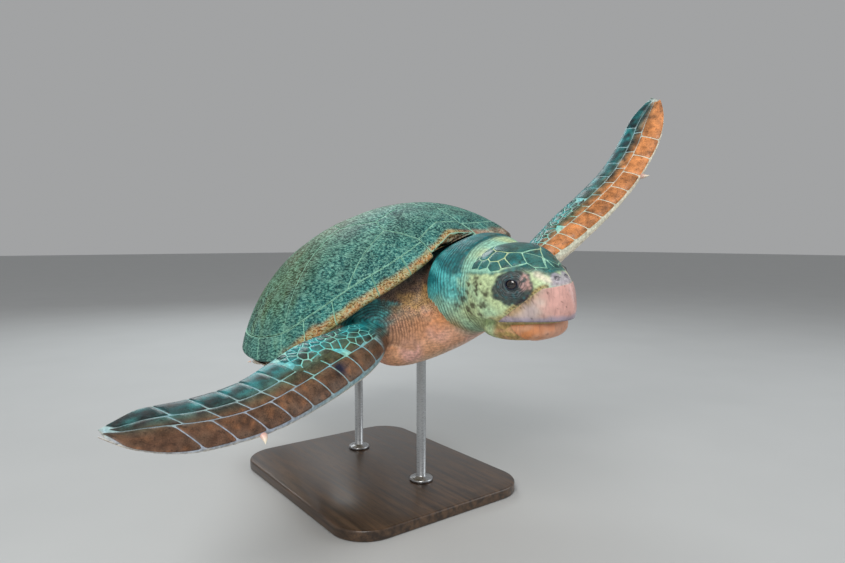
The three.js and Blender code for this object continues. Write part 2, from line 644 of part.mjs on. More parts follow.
turtle.add(headGroup);
turtle.add(meshOf("neck", neckSolid(0).subtract(shellRoom).subtract(headRoom)
  .subtract(frontFlipper("left", GAP)).subtract(frontFlipper("right", GAP)), materials.skin));
for (const side of ["left", "right"]) {
  turtle.add(meshOf(`front_flipper_${side}`, frontFlipper(side, 0), materials.skin));
  turtle.add(meshOf(`hind_flipper_${side}`, hindFlipper(side, 0).subtract(tailSolid(GAP)), materials.skin));
  const { share, size } = FRONT_CLAW;
  const frontClaw = clawSolid(FRONT_POSE[side], FRONT_LENGTH, FRONT_PLAN, share[side], size);
  turtle.add(meshOf(`claw_front_${side}`, frontClaw.subtract(frontFlipper(side, GAP)), materials.claw));
  HIND_CLAWS.forEach((hind, i) => {
    const claw = clawSolid(HIND_POSE[side], HIND_LENGTH, HIND_PLAN, hind.share, hind.size);
    turtle.add(meshOf(`claw_hind_${side}_${i + 1}`, claw.subtract(hindFlipper(side, GAP)), materials.claw));
  });
}
turtle.add(meshOf("tail", tailSolid(0).subtract(shellRoom), materials.skin));
const limbRooms = ["left", "right"].flatMap((side) => [frontFlipper(side, GAP), hindFlipper(side, GAP)]);
const trunk = [neckSolid(GAP), tailSolid(GAP), ...limbRooms]
  .reduce((rest, room) => rest.subtract(room), trunkSolid().add(chestSolid()).subtract(shellRoom));
turtle.add(meshOf("trunk", trunk, materials.skin));

const stand = new THREE.Group();
stand.add(baseMesh(materials.wood));
for (const [name, forward] of Object.entries(RODS)) {
  stand.add(rodMesh(`stand_rod_${name}`, forward, turtle.matrix, materials.steel));
}

const model = new THREE.Group();
model.add(turtle, stand);

export default model;
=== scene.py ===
"""A life-size loggerhead turtle, swimming over a plain display stand.

The turtle is modelled in millimetres in a frame of its own: x is its left, y is backwards and z is
towards its back. Each finished mesh is then placed in the stand's frame, in metres.
"""
import logging
import math
import random
from abc import ABC, abstractmethod
from dataclasses import dataclass, field
from enum import Enum
from typing import Callable, Iterable, Sequence

import bmesh
import bpy
import numpy as np
from mathutils import Matrix, Vector
from mathutils.bvhtree import BVHTree


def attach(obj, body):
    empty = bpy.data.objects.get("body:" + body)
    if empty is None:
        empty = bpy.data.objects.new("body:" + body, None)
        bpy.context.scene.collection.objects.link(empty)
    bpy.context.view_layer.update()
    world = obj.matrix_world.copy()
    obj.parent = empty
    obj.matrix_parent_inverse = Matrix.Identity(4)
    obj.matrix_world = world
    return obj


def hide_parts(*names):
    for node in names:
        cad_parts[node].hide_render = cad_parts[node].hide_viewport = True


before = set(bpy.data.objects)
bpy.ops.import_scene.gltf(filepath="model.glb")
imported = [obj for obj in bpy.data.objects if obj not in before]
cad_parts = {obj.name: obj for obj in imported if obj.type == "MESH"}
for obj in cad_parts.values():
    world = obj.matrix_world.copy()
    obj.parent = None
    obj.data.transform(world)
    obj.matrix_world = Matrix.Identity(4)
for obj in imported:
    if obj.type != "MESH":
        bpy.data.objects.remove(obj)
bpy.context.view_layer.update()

BODY = "root"
LOG = logging.getLogger("turtle")
Array = np.ndarray


# ---------------------------------------------------------------- small tools


def spot(forward: float, left: float, up: float) -> Vector:
    """A point of the turtle's frame, in millimetres."""
    return Vector((left, -forward, up))


def lerp(a: Array | float, b: Array | float, share: Array | float) -> Array | float:
    """The value a share of the way from a to b."""
    return a + (b - a) * share


def ramp(value: Array, low: float, high: float) -> Array:
    """0 below low, 1 above high and a smooth rise between them."""
    t = np.clip((value - low) / (high - low), 0.0, 1.0)
    return t * t * (3 - 2 * t)


def bump_at(value: Array, middle: float, width: float) -> Array:
    """A soft hill, 1 at the middle and close to 0 a width away."""
    return np.exp(-((value - middle) / width) ** 2 * 2.5)


@dataclass(frozen=True)
class Stations:
    """A smooth run of values through rows of (place, value, value, ...), places rising."""

    rows: tuple[tuple[float, ...], ...]

    def at(self, place: Array) -> Array:
        """The values at each place.

        Args:
            place: positions along the run.

        Returns:
            One row of values for each place.
        """
        table = np.array(sorted(self.rows))
        x, values = table[:, 0], table[:, 1:]
        last = len(x) - 1
        place = np.clip(np.asarray(place, float), x[0], x[-1])
        i = np.clip(np.searchsorted(x, place, "right") - 1, 0, last - 1)
        before, after = np.maximum(np.arange(last + 1) - 1, 0), np.minimum(np.arange(last + 1) + 1, last)
        slope = (values[after] - values[before]) / (x[after] - x[before])[:, None]
        span = (x[i + 1] - x[i])[:, None]
        t = ((place - x[i]) / span[:, 0])[:, None]
        rise = values[i + 1] - values[i]
        curve = span * t * (1 - t) * (slope[i] * (1 - t) - slope[i + 1] * t)
        return values[i] + rise * t * t * (3 - 2 * t) + curve


class Waves:
    """Smooth, seeded noise: a sum of sine waves in random directions."""

    def __init__(self, seed: int, size: float, count: int = 14) -> None:
        """
        Args:
            seed: picks the directions.
            size: the length of a typical wave, in millimetres.
            count: how many waves are added up.
        """
        rng = np.random.default_rng(seed)
        directions = rng.normal(size=(count, 3))
        directions /= np.linalg.norm(directions, axis=1)[:, None]
        self.wave = directions * (2 * math.pi / size) * rng.uniform(0.6, 1.5, (count, 1))
        self.phase = rng.uniform(0, 2 * math.pi, count)

    def at(self, points: Array) -> Array:
        """A value of about -1 to 1 at each point."""
        return np.sin(points @ self.wave.T + self.phase).sum(1) / math.sqrt(len(self.phase)) / 1.4


@dataclass(frozen=True)
class Placement:
    """Where the turtle's frame and the head's frame lie."""

    pitch_up: float = math.radians(10)
    bank_right: float = math.radians(19)
    height: float = 500.0
    head_at: Vector = field(default_factory=lambda: spot(424, 10, -42))
    head_yaw: float = math.radians(-6)
    head_pitch: float = math.radians(8)
    head_roll: float = math.radians(11.5)

    @property
    def turtle(self) -> Matrix:
        """From the turtle's millimetres to the stand's metres."""
        turn = Matrix.Rotation(-self.pitch_up, 4, "X") @ Matrix.Rotation(-self.bank_right, 4, "Y")
        return Matrix.Scale(0.001, 4) @ Matrix.Translation((0, 0, self.height)) @ turn

    @property
    def head(self) -> Matrix:
        """From the head's frame to the turtle's."""
        turn = Matrix.Rotation(self.head_yaw, 4, "Z") @ Matrix.Rotation(self.head_pitch, 4, "X")
        return Matrix.Translation(self.head_at) @ turn @ Matrix.Rotation(self.head_roll, 4, "Y")


PLACE = Placement()


def moved(points: Array, matrix: Matrix) -> Array:
    """Points taken through a matrix, as an array."""
    m = np.array(matrix)
    return points @ m[:3, :3].T + m[:3, 3]


def coordinates(bm: bmesh.types.BMesh) -> Array:
    """The mesh's vertex positions as an array."""
    return np.array([v.co for v in bm.verts], float).reshape(-1, 3)


def set_coordinates(bm: bmesh.types.BMesh, points: Array) -> None:
    """Moves the mesh's vertices to the rows of an array."""
    for v, co in zip(bm.verts, points.tolist()):
        v.co = co


def normals(bm: bmesh.types.BMesh) -> Array:
    """The mesh's vertex normals as an array."""
    bm.normal_update()
    return np.array([v.normal for v in bm.verts], float).reshape(-1, 3)


def bisected(bm: bmesh.types.BMesh, point: Vector, normal: Vector, fill: bool = True) -> None:
    """Cuts away what lies beyond a plane, on the side the normal points to.

    Args:
        bm: the mesh to cut.
        point: a point of the plane.
        normal: its direction, towards what is cut away.
        fill: whether the cut is closed with a face.
    """
    geom = bm.verts[:] + bm.edges[:] + bm.faces[:]
    cut = bmesh.ops.bisect_plane(bm, geom=geom, dist=1e-4, plane_co=point, plane_no=normal, clear_outer=True)
    if fill:
        edges = [e for e in cut["geom_cut"] if isinstance(e, bmesh.types.BMEdge)]
        bmesh.ops.edgeloop_fill(bm, edges=edges)


def scored(bm: bmesh.types.BMesh, normal: Vector, start: float, stop: float, step: float) -> None:
    """Scores a mesh across with parallel planes, so that it has vertices to bend at."""
    for at in np.arange(start, stop, step):
        geom = bm.verts[:] + bm.edges[:] + bm.faces[:]
        bmesh.ops.bisect_plane(bm, geom=geom, dist=1e-4, plane_co=normal * float(at), plane_no=normal)


def joined(parts: Iterable[bmesh.types.BMesh]) -> bmesh.types.BMesh:
    """One mesh of several, which are used up."""
    whole = bmesh.new()
    for part in parts:
        mesh = bpy.data.meshes.new("part")
        part.to_mesh(mesh)
        part.free()
        whole.from_mesh(mesh)
        bpy.data.meshes.remove(mesh)
    return whole


def with_modifier(bm: bmesh.types.BMesh, kind: str, weights: Array | None = None,
                  **settings: object) -> bmesh.types.BMesh:
    """The mesh after one modifier, as a new mesh; the old one is used up.

    Args:
        bm: the mesh.
        kind: the modifier's type.
        weights: a weight for each vertex, as a vertex group named "weights".
        settings: its properties.

    Returns:
        The finished mesh.
    """
    if weights is not None:
        layer = bm.verts.layers.deform.verify()
        for v, weight in zip(bm.verts, weights):
            v[layer][0] = float(weight)
    mesh = bpy.data.meshes.new("work")
    bm.to_mesh(mesh)
    bm.free()
    work = bpy.data.objects.new("work", mesh)
    if weights is not None:
        work.vertex_groups.new(name="weights")
    bpy.context.collection.objects.link(work)
    modifier = work.modifiers.new("work", kind)
    for key, value in settings.items():
        setattr(modifier, key, value)
    done = bpy.data.meshes.new_from_object(work.evaluated_get(bpy.context.evaluated_depsgraph_get()))
    result = bmesh.new()
    result.from_mesh(done)
    bpy.data.objects.remove(work)
    for used in (mesh, done):
        bpy.data.meshes.remove(used)
    return result


class Piece:
    """A finished piece: an object at the origin that rides on the turtle's one body."""

    def __init__(self, name: str, bm: bmesh.types.BMesh, material: bpy.types.Material, slot: str,
                 replaces: Sequence[str] = (), matrix: Matrix | None = None, smooth: bool = True) -> None:
        """
        Args:
            name: the object's name.
            bm: its mesh, which is used up.
            material: its finish.
            slot: the record's slot that the finish belongs to; not used.
            replaces: the CAD nodes it stands for.
            matrix: where its mesh is placed; the turtle's own place if none is given.
            smooth: whether its faces are shaded smooth.
        """
        bm.transform(PLACE.turtle if matrix is None else matrix)
        for face in bm.faces:
            face.smooth = smooth
        mesh = bpy.data.meshes.new(name)
        bm.to_mesh(mesh)
        bm.free()
        mesh.materials.append(material)
        self.object = bpy.data.objects.new(name, mesh)
        bpy.context.collection.objects.link(self.object)
        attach(self.object, BODY)
        if replaces:
            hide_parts(*replaces)
        triangles = sum(len(p.vertices) - 2 for p in mesh.polygons)
        LOG.info("%s: %d triangles", name, triangles)

    def paint(self, **values: Array) -> "Piece":
        """Gives the mesh point attributes: one number or one colour for each vertex.

        Args:
            values: the attributes by name, as arrays with a row for each vertex.

        Returns:
            The piece itself.
        """
        for name, data in values.items():
            data = np.asarray(data, np.float32)
            if data.ndim == 1:
                layer = self.object.data.attributes.new(name, "FLOAT", "POINT")
                layer.data.foreach_set("value", np.ascontiguousarray(data))
            else:
                rgba = np.concatenate([data, np.ones((len(data), 1), np.float32)], 1)
                layer = self.object.data.attributes.new(name, "FLOAT_COLOR", "POINT")
                layer.data.foreach_set("color", np.ascontiguousarray(rgba, np.float32).ravel())
        return self


# ---------------------------------------------------------------- the forms of the body


POLE_EASE = 0.55


def drawn_to_poles(share: Array) -> Array:
    """Shares of the way from pole to pole, drawn closer together towards both poles."""
    return share - POLE_EASE * np.sin(2 * math.pi * share) / (2 * math.pi)


@dataclass(frozen=True)
class Section:
    """Rounded oval sections at several places at once: centres, axes and sizes along them."""

    centre: Array
    across: Array
    thick: Array
    left: Array
    right: Array
    top: Array
    bottom: Array


@dataclass(frozen=True)
class Loft(ABC):
    """A closed form from pole to pole, with a rounded oval for each section."""

    squareness: float = 1.0
    roundness: float = 0.5

    @abstractmethod
    def section(self, share: Array, grow: float) -> Section:
        """The sections at shares of the way from pole to pole, grown by some millimetres."""

    def points(self, share: Array, turn: Array, grow: float = 0.0) -> Array:
        """Points of the form, found from the share from pole to pole and the turn round it."""
        eased = drawn_to_poles(share)
        cap = np.maximum(np.sin(math.pi * share), 0) ** self.roundness
        s = self.section(eased, grow)
        across = np.sign(np.cos(turn)) * np.abs(np.cos(turn)) ** self.squareness
        rise = np.sign(np.sin(turn)) * np.abs(np.sin(turn)) ** self.squareness
        wide = cap * across * np.where(across > 0, s.left, s.right)
        high = cap * rise * np.where(rise > 0, s.top, s.bottom)
        return s.centre + s.across * wide[:, None] + s.thick * high[:, None]

    def share_at(self, place: Array) -> Array:
        """The share from pole to pole of places given as shares of the stations' run."""
        share = np.linspace(0, 1, 800)
        return np.interp(place, drawn_to_poles(share), share)

    def surface_at(self, place: Array, turn: Array, grow: float) -> tuple[Array, Array]:
        """Points of the form and the directions that point out of it.

        Args:
            place: shares of the stations' run.
            turn: turns round the form.
            grow: how far the form is grown.

        Returns:
            Points and unit normals.
        """
        share, step = np.clip(self.share_at(place), 0.004, 0.996), 0.003
        points = self.points(share, turn, grow)
        along = self.points(share + step, turn, grow) - self.points(share - step, turn, grow)
        around = self.points(share, turn + step * 2, grow) - self.points(share, turn - step * 2, grow)
        outward = np.cross(along, around)
        outward /= np.maximum(np.linalg.norm(outward, axis=1), 1e-9)[:, None]
        middle = self.points(share, turn + math.pi, grow)
        return points, outward * np.where((outward * (points - middle)).sum(1) < 0, -1, 1)[:, None]

    def mesh(self, around: int, along: int, grow: float = 0.0) -> bmesh.types.BMesh:
        """A fine closed mesh of the form.

        Args:
            around: steps round each section.
            along: steps from pole to pole.
            grow: how far the form is grown, or drawn in when below 0.

        Returns:
            The mesh, with its faces pointing out.
        """
        bm = bmesh.new()
        bmesh.ops.create_uvsphere(bm, u_segments=around, v_segments=along, radius=1.0)
        ball = coordinates(bm)
        share = np.arccos(np.clip(ball[:, 2], -1, 1)) / math.pi
        turn = np.arctan2(ball[:, 1], ball[:, 0])
        set_coordinates(bm, self.points(share, turn, grow))
        bmesh.ops.recalc_face_normals(bm, faces=bm.faces)
        return bm


@dataclass(frozen=True)
class BodyLoft(Loft):
    """A form whose sections stand across the line forward, such as the head or the neck."""

    stations: Stations = Stations(((0.0, 0.0),))

    def values(self, forward: Array) -> tuple[Array, Array, Array, Array]:
        """Centre left, half-width, top and bottom at places forward."""
        columns = self.stations.at(forward).T
        if len(columns) == 3:
            return (np.zeros_like(columns[0]), *columns)
        return tuple(columns)

    def surface(self, forward: Array, turn: Array, grow: float) -> tuple[Array, Array]:
        """Points and normals at places forward and turns round the form."""
        places = sorted(row[0] for row in self.stations.rows)
        return self.surface_at((forward - places[0] + grow) / (places[-1] - places[0] + 2 * grow), turn, grow)

    def section(self, share: Array, grow: float) -> Section:
        """The sections at shares of the way from the rearmost station to the foremost."""
        places = sorted(row[0] for row in self.stations.rows)
        forward = lerp(places[0] - grow, places[-1] + grow, share)
        left, half, top, bottom = self.values(forward)
        middle = (top + bottom) / 2
        centre = np.stack([left, -forward, middle], 1)
        return Section(centre, np.array([[1.0, 0, 0]]), np.array([[0, 0, 1.0]]), half + grow, half + grow,
                       top - middle + grow, middle - bottom + grow)


class Side(Enum):
    """The two sides of the body, with the sign of x on each."""

    LEFT = 1
    RIGHT = -1

    @property
    def label(self) -> str:
        """The side's word in node names."""
        return self.name.lower()


@dataclass(frozen=True)
class Flipper(Loft):
    """A flipper: a flat blade that sweeps out from its shoulder, rolls and bends."""

    side: Side = Side.LEFT
    plan: Stations = Stations(((0.0, 0.0),))
    length: float = 578.0
    shoulder: Vector = field(default_factory=Vector)
    sweep: float = 0.0
    lift: float = 0.0
    pronation: float = 0.0
    twist: float = 0.0
    bend: tuple[float, float] = (0.0, 0.0)
    upper_share: float = 0.56

    def axes(self) -> tuple[Array, Array, Array]:
        """Unit vectors along the flipper, across it in the level plane, and up through it."""
        sweep, lift = math.radians(self.sweep), math.radians(self.lift)
        level = math.cos(lift)
        along = spot(math.sin(sweep) * level, self.side.value * math.cos(sweep) * level, math.sin(lift))
        flat = Vector((0, 0, 1)).cross(along) * self.side.value
        flat.normalize()
        dorsal = flat.cross(along).normalized()
        if dorsal.z < 0:
            dorsal.negate()
        return np.array(along), np.array(flat), np.array(dorsal)

    def run(self, place: Array) -> tuple[Array, Array, Array, Array, Array]:
        """Centres, chord directions, thickness directions, chords and thicknesses at places along it."""
        along, flat, dorsal = self.axes()
        roll = np.radians(self.pronation + self.twist * place)[:, None]
        chord = flat * np.cos(roll) + dorsal * np.sin(roll)
        thick = dorsal * np.cos(roll) - flat * np.sin(roll)
        width, offset, depth = self.plan.at(place).T
        arch = self.bend[0] * place ** 2 + self.bend[1] * place ** 3
        centre = (np.array(self.shoulder) + along * (place * self.length)[:, None]
                  + chord * offset[:, None] + thick * arch[:, None])
        return centre, chord, thick, width, depth

    def section(self, share: Array, grow: float) -> Section:
        """The sections at shares of the way from the shoulder to the tip."""
        place = lerp(min(row[0] for row in self.plan.rows), 1.0, share)
        centre, chord, thick, width, depth = self.run(place)
        upper = depth * self.upper_share
        return Section(centre, chord, thick, width / 2 + grow, width / 2 + grow, upper + grow,
                       depth - upper + grow)

    def surface(self, place: Array, turn: Array, grow: float) -> tuple[Array, Array]:
        """Points and normals of the blade at shares along it and turns round it, 0 at the trailing edge."""
        start = min(row[0] for row in self.plan.rows)
        return self.surface_at((place - start) / (1 - start), turn, grow)

    def settled(self, points: Array, grow: float) -> Array:
        """Draws points near the blade, away from its root, to the blade's own smooth surface."""
        place, chordwise, height = self.blade_coordinates(points)
        near = (place > 0.12) & (place < 1.1) & (np.abs(chordwise) < 1.6) & (np.abs(height) < 60)
        _, _, _, width, depth = self.run(np.clip(place, 0, 1))
        high = depth * np.where(height > 0, self.upper_share, 1 - self.upper_share) + grow
        turn = np.arctan2(height / high, chordwise * width / 2 / (width / 2 + grow))
        surface, _ = self.surface(place, turn, grow)
        weight = (ramp(place, 0.12, 0.3) * near)[:, None]
        return points + (surface - points) * weight

    def blade_coordinates(self, points: Array) -> tuple[Array, Array, Array]:
        """Where points lie on the blade: share along it, chordwise place and height over its middle."""
        along, _, _ = self.axes()
        place = (points - np.array(self.shoulder)) @ along / self.length
        centre, chord, thick, width, _ = self.run(np.clip(place, -0.2, 1.05))
        off = points - centre
        return place, (off * chord).sum(1) / (width / 2), (off * thick).sum(1)


@dataclass(frozen=True)
class Shell:
    """The shell's surfaces: a dome over a dish that share one rim. Lengths are millimetres."""

    front: float = 388.0
    rear: float = 500.0
    half_width: float = 360.0
    rise: float = 208.0
    depth: float = 134.0
    front_bluntness: float = 0.79
    shoulder_fullness: float = 0.95
    rear_taper: float = 1.15
    dome_fullness: float = 2.36
    dome_rounding: float = 0.85
    forward_lean: float = 0.38
    dish_inset: float = 0.985
    dish_side_steepness: float = 5.2
    dish_front_steepness: float = 8.0
    dish_end_rise: float = 14.0
    carapace: float = 15.0
    plastron: float = 12.0
    rim_rise: Stations = Stations(((0, 88), (12, 62), (24, 44), (40, 26), (60, -6), (82, -36), (112, -17),
                                   (146, -2), (180, 4)))

    def rim_plan(self, turn: Array) -> tuple[Array, Array]:
        """The rim's outline in plan: distances forward and left at turns round it, 0 at the front."""
        c, s = np.cos(turn), np.sin(turn)
        ahead = c > 0
        forward = np.where(ahead, self.front * np.abs(c) ** self.front_bluntness, self.rear * c)
        power = np.where(ahead, self.shoulder_fullness, self.rear_taper)
        return forward, self.half_width * np.sign(s) * np.abs(s) ** power

    def rim_up(self, turn: Array) -> Array:
        """The rim's height at turns round it."""
        return self.rim_rise.at(np.degrees(np.abs(np.arctan2(np.sin(turn), np.cos(turn)))))[:, 0]

    def turn_and_reach(self, forward: Array, left: Array, inset: float = 1.0) -> tuple[Array, Array]:
        """The turn round the shell and the share of the way out to its rim, for places in plan.

        Args:
            forward: distances forward.
            left: distances to the left.
            inset: the size of the outline against the rim's own.

        Returns:
            Turns and reaches.
        """
        ahead = forward > 0
        low, high = np.full(forward.shape, 1e-4), np.full(forward.shape, 4.0)
        for _ in range(36):
            reach = (low + high) / 2
            f, s = np.abs(forward) / (reach * inset), np.abs(left) / (reach * inset * self.half_width)
            c = np.where(ahead, (f / self.front) ** (1 / self.front_bluntness), f / self.rear)
            s = s ** np.where(ahead, 1 / self.shoulder_fullness, 1 / self.rear_taper)
            outside = c * c + s * s > 1
            low, high = np.where(outside, reach, low), np.where(outside, high, reach)
        turn = np.arctan2(np.sign(left) * s, np.where(ahead, c, -c))
        return turn, (low + high) / 2

    def dome(self, turn: Array, reach: Array) -> Array:
        """Points of the carapace's outer face."""
        forward, left = self.rim_plan(turn)
        forward, left = forward * reach, left * reach
        crown = np.maximum(0, 1 - reach ** self.dome_fullness) ** self.dome_rounding
        lean = 1 + self.forward_lean * forward / 1000
        return np.stack([left, -forward, self.rim_up(turn) * reach ** 3 + self.rise * crown * lean], 1)

    def dish(self, turn: Array, reach: Array) -> Array:
        """Points of the plastron's outer face."""
        forward, left = self.rim_plan(turn)
        forward, left = forward * reach * self.dish_inset, left * reach * self.dish_inset
        frontness = np.maximum(0, np.cos(turn)) ** 2
        steep = lerp(self.dish_side_steepness, self.dish_front_steepness, frontness)
        bottom = -self.depth + self.dish_end_rise * (reach * np.cos(turn)) ** 2
        return np.stack([left, -forward, bottom + (self.rim_up(turn) - 1 - bottom) * reach ** steep], 1)

    def dish_under(self, forward: Array, left: Array) -> Array:
        """Points of the plastron's outer face under places in plan."""
        return self.dish(*self.turn_and_reach(forward, left, self.dish_inset))

    def sunk(self, face: Callable[[Array, Array], Array], turn: Array, reach: Array, depth: Array | float,
             inward_up: int) -> Array:
        """Points of a face moved inwards by a depth along its normal."""
        step = 0.004
        around = face(turn + step, reach) - face(turn - step, reach)
        outward = face(turn, np.minimum(1, reach + step)) - face(turn, np.maximum(0, reach - step))
        normal = np.cross(around, outward)
        normal /= np.maximum(np.linalg.norm(normal, axis=1), 1e-9)[:, None]
        normal *= np.where(normal[:, 2] * inward_up < 0, -1.0, 1.0)[:, None]
        level = np.array([[0.0, 0.0, inward_up]])
        normal = np.where((reach < 0.02)[:, None], level, normal)
        return face(turn, reach) + normal * np.reshape(depth, (-1, 1))


SHELL = Shell()
NECK = BodyLoft(0.82, 0.35, Stations((
    (230, 0, 100, 40, -110), (310, 0, 104, 54, -120), (370, 3, 110, 70, -124), (408, 6, 115, 77, -126),
    (440, 9, 109, 77, -126), (480, 12, 100, 71, -121), (520, 13, 88, 56, -106))))
CHEST = BodyLoft(0.6, 0.35, Stations((
    (120, 180, -10, -136), (220, 214, 10, -145), (285, 212, 10, -150), (345, 152, 0, -146),
    (400, 104, -20, -133), (450, 72, -50, -120))))
HEAD = BodyLoft(0.85, 0.42, Stations((
    (-30, 92, 80, -84), (10, 102, 94, -94), (50, 106, 99, -98), (90, 102, 98, -97), (126, 90, 91, -93),
    (160, 71, 78, -87), (190, 57, 65, -80), (214, 43, 53, -76), (233, 22, 26, -64))))
JAW = BodyLoft(0.85, 0.42, Stations((
    (20, 84, -34, -92), (80, 84, -34, -95), (130, 70, -34, -94), (170, 50, -34, -90), (196, 31, -34, -82),
    (207, 14, -36, -66))))
TAIL = BodyLoft(1.0, 0.5, Stations((
    (-556, 9, -79, -97), (-490, 26, -54, -106), (-430, 36, -34, -106), (-372, 46, -18, -106))))
FRONT_PLAN = Stations((
    (-0.035, 120, -5, 100), (0.14, 138, -11, 84), (0.3, 146, -5, 62), (0.45, 134, -6, 46), (0.6, 123, -3, 36),
    (0.75, 124, 17, 28), (0.87, 129, 42, 20), (0.95, 102, 60, 14), (1, 66, 80, 9)))
HIND_PLAN = Stations((
    (-0.02, 92, 0, 66), (0.2, 96, 0, 52), (0.4, 104, 4, 38), (0.6, 132, 12, 26), (0.8, 142, 18, 18),
    (0.93, 112, 20, 12), (1, 58, 20, 8)))
FRONT_LENGTH = 578
HIND_LENGTH = 300
FRONT_FLIPPERS = {
    Side.LEFT: Flipper(1, 0.42, Side.LEFT, FRONT_PLAN, FRONT_LENGTH, spot(299, 230, -72), 25.6, 17, 12.1, 32,
                       (60, 41)),
    Side.RIGHT: Flipper(1, 0.42, Side.RIGHT, FRONT_PLAN, FRONT_LENGTH, spot(267, -206, -40), 16.9, 0.8, 43.7,
                        8.3, (-27, 48)),
}
HIND_FLIPPERS = {
    Side.LEFT: Flipper(1, 0.42, Side.LEFT, HIND_PLAN, HIND_LENGTH, spot(-318, 150, -62), -64, -10, 16, -8,
                       (-10, 20)),
    Side.RIGHT: Flipper(1, 0.42, Side.RIGHT, HIND_PLAN, HIND_LENGTH, spot(-322, -132, -66), -86, -14, -24, 0,
                        (0, 10)),
}


SKIN_INSET = 1.6
BLADE_HALF = 65.0


# ---------------------------------------------------------------- colours


class Hue(Enum):
    """The named colours of the turtle, as sRGB."""

    NAVY = "#0b1730"
    VIOLET = "#4a3842"
    DEEP_TEAL = "#0c4546"
    TEAL = "#1c7f84"
    CYAN = "#5ccfd0"
    SEAFOAM = "#9fd6bd"
    YELLOW_GREEN = "#c2d6a4"
    OLIVE = "#5c5a32"
    MOSS = "#46694a"
    UMBER = "#33231a"
    BROWN = "#6b4a36"
    OCHRE = "#b5904f"
    ORANGE = "#d98b50"
    BUFF = "#d6a07c"
    PINK = "#dcaaa0"
    CREAM = "#eadfc8"
    LILAC = "#a79db0"

    @property
    def linear(self) -> Array:
        """The colour as linear numbers."""
        code = np.array([int(self.value[i:i + 2], 16) for i in (1, 3, 5)]) / 255
        return np.where(code < 0.04045, code / 12.92, ((code + 0.055) / 1.055) ** 2.4)


def tinted(base: Array, colour: Hue | Array, weight: Array) -> Array:
    """A row of colours blended towards one colour, or one for each row, by a weight for each."""
    target = colour.linear if isinstance(colour, Hue) else colour
    return base + (target - base) * np.clip(weight, 0, 1)[:, None]


def plain(count: int, colour: Hue) -> Array:
    """One colour repeated."""
    return np.tile(colour.linear, (count, 1))


EYE_AT = (145.0, 60.0, 28.0)
EYE_RADIUS = 17.0
EYE_AXIS = (0.46, 0.88, 0.10)
NOSTRIL_AT = (213.0, 12.5, 34.6)
BLOTCH_COUNT = 13


def cheek_blotches() -> list[tuple[float, float, float]]:
    """Forward, up and size of the dark blotches, spread over the cheek by an even spiral."""
    found = []
    for i in range(BLOTCH_COUNT):
        reach, turn = math.sqrt(i / BLOTCH_COUNT), 2.4 * i
        found.append((64 + 54 * reach * math.cos(turn), 4 + 40 * reach * math.sin(turn), 6.0 + 3 * (i % 3)))
    return found


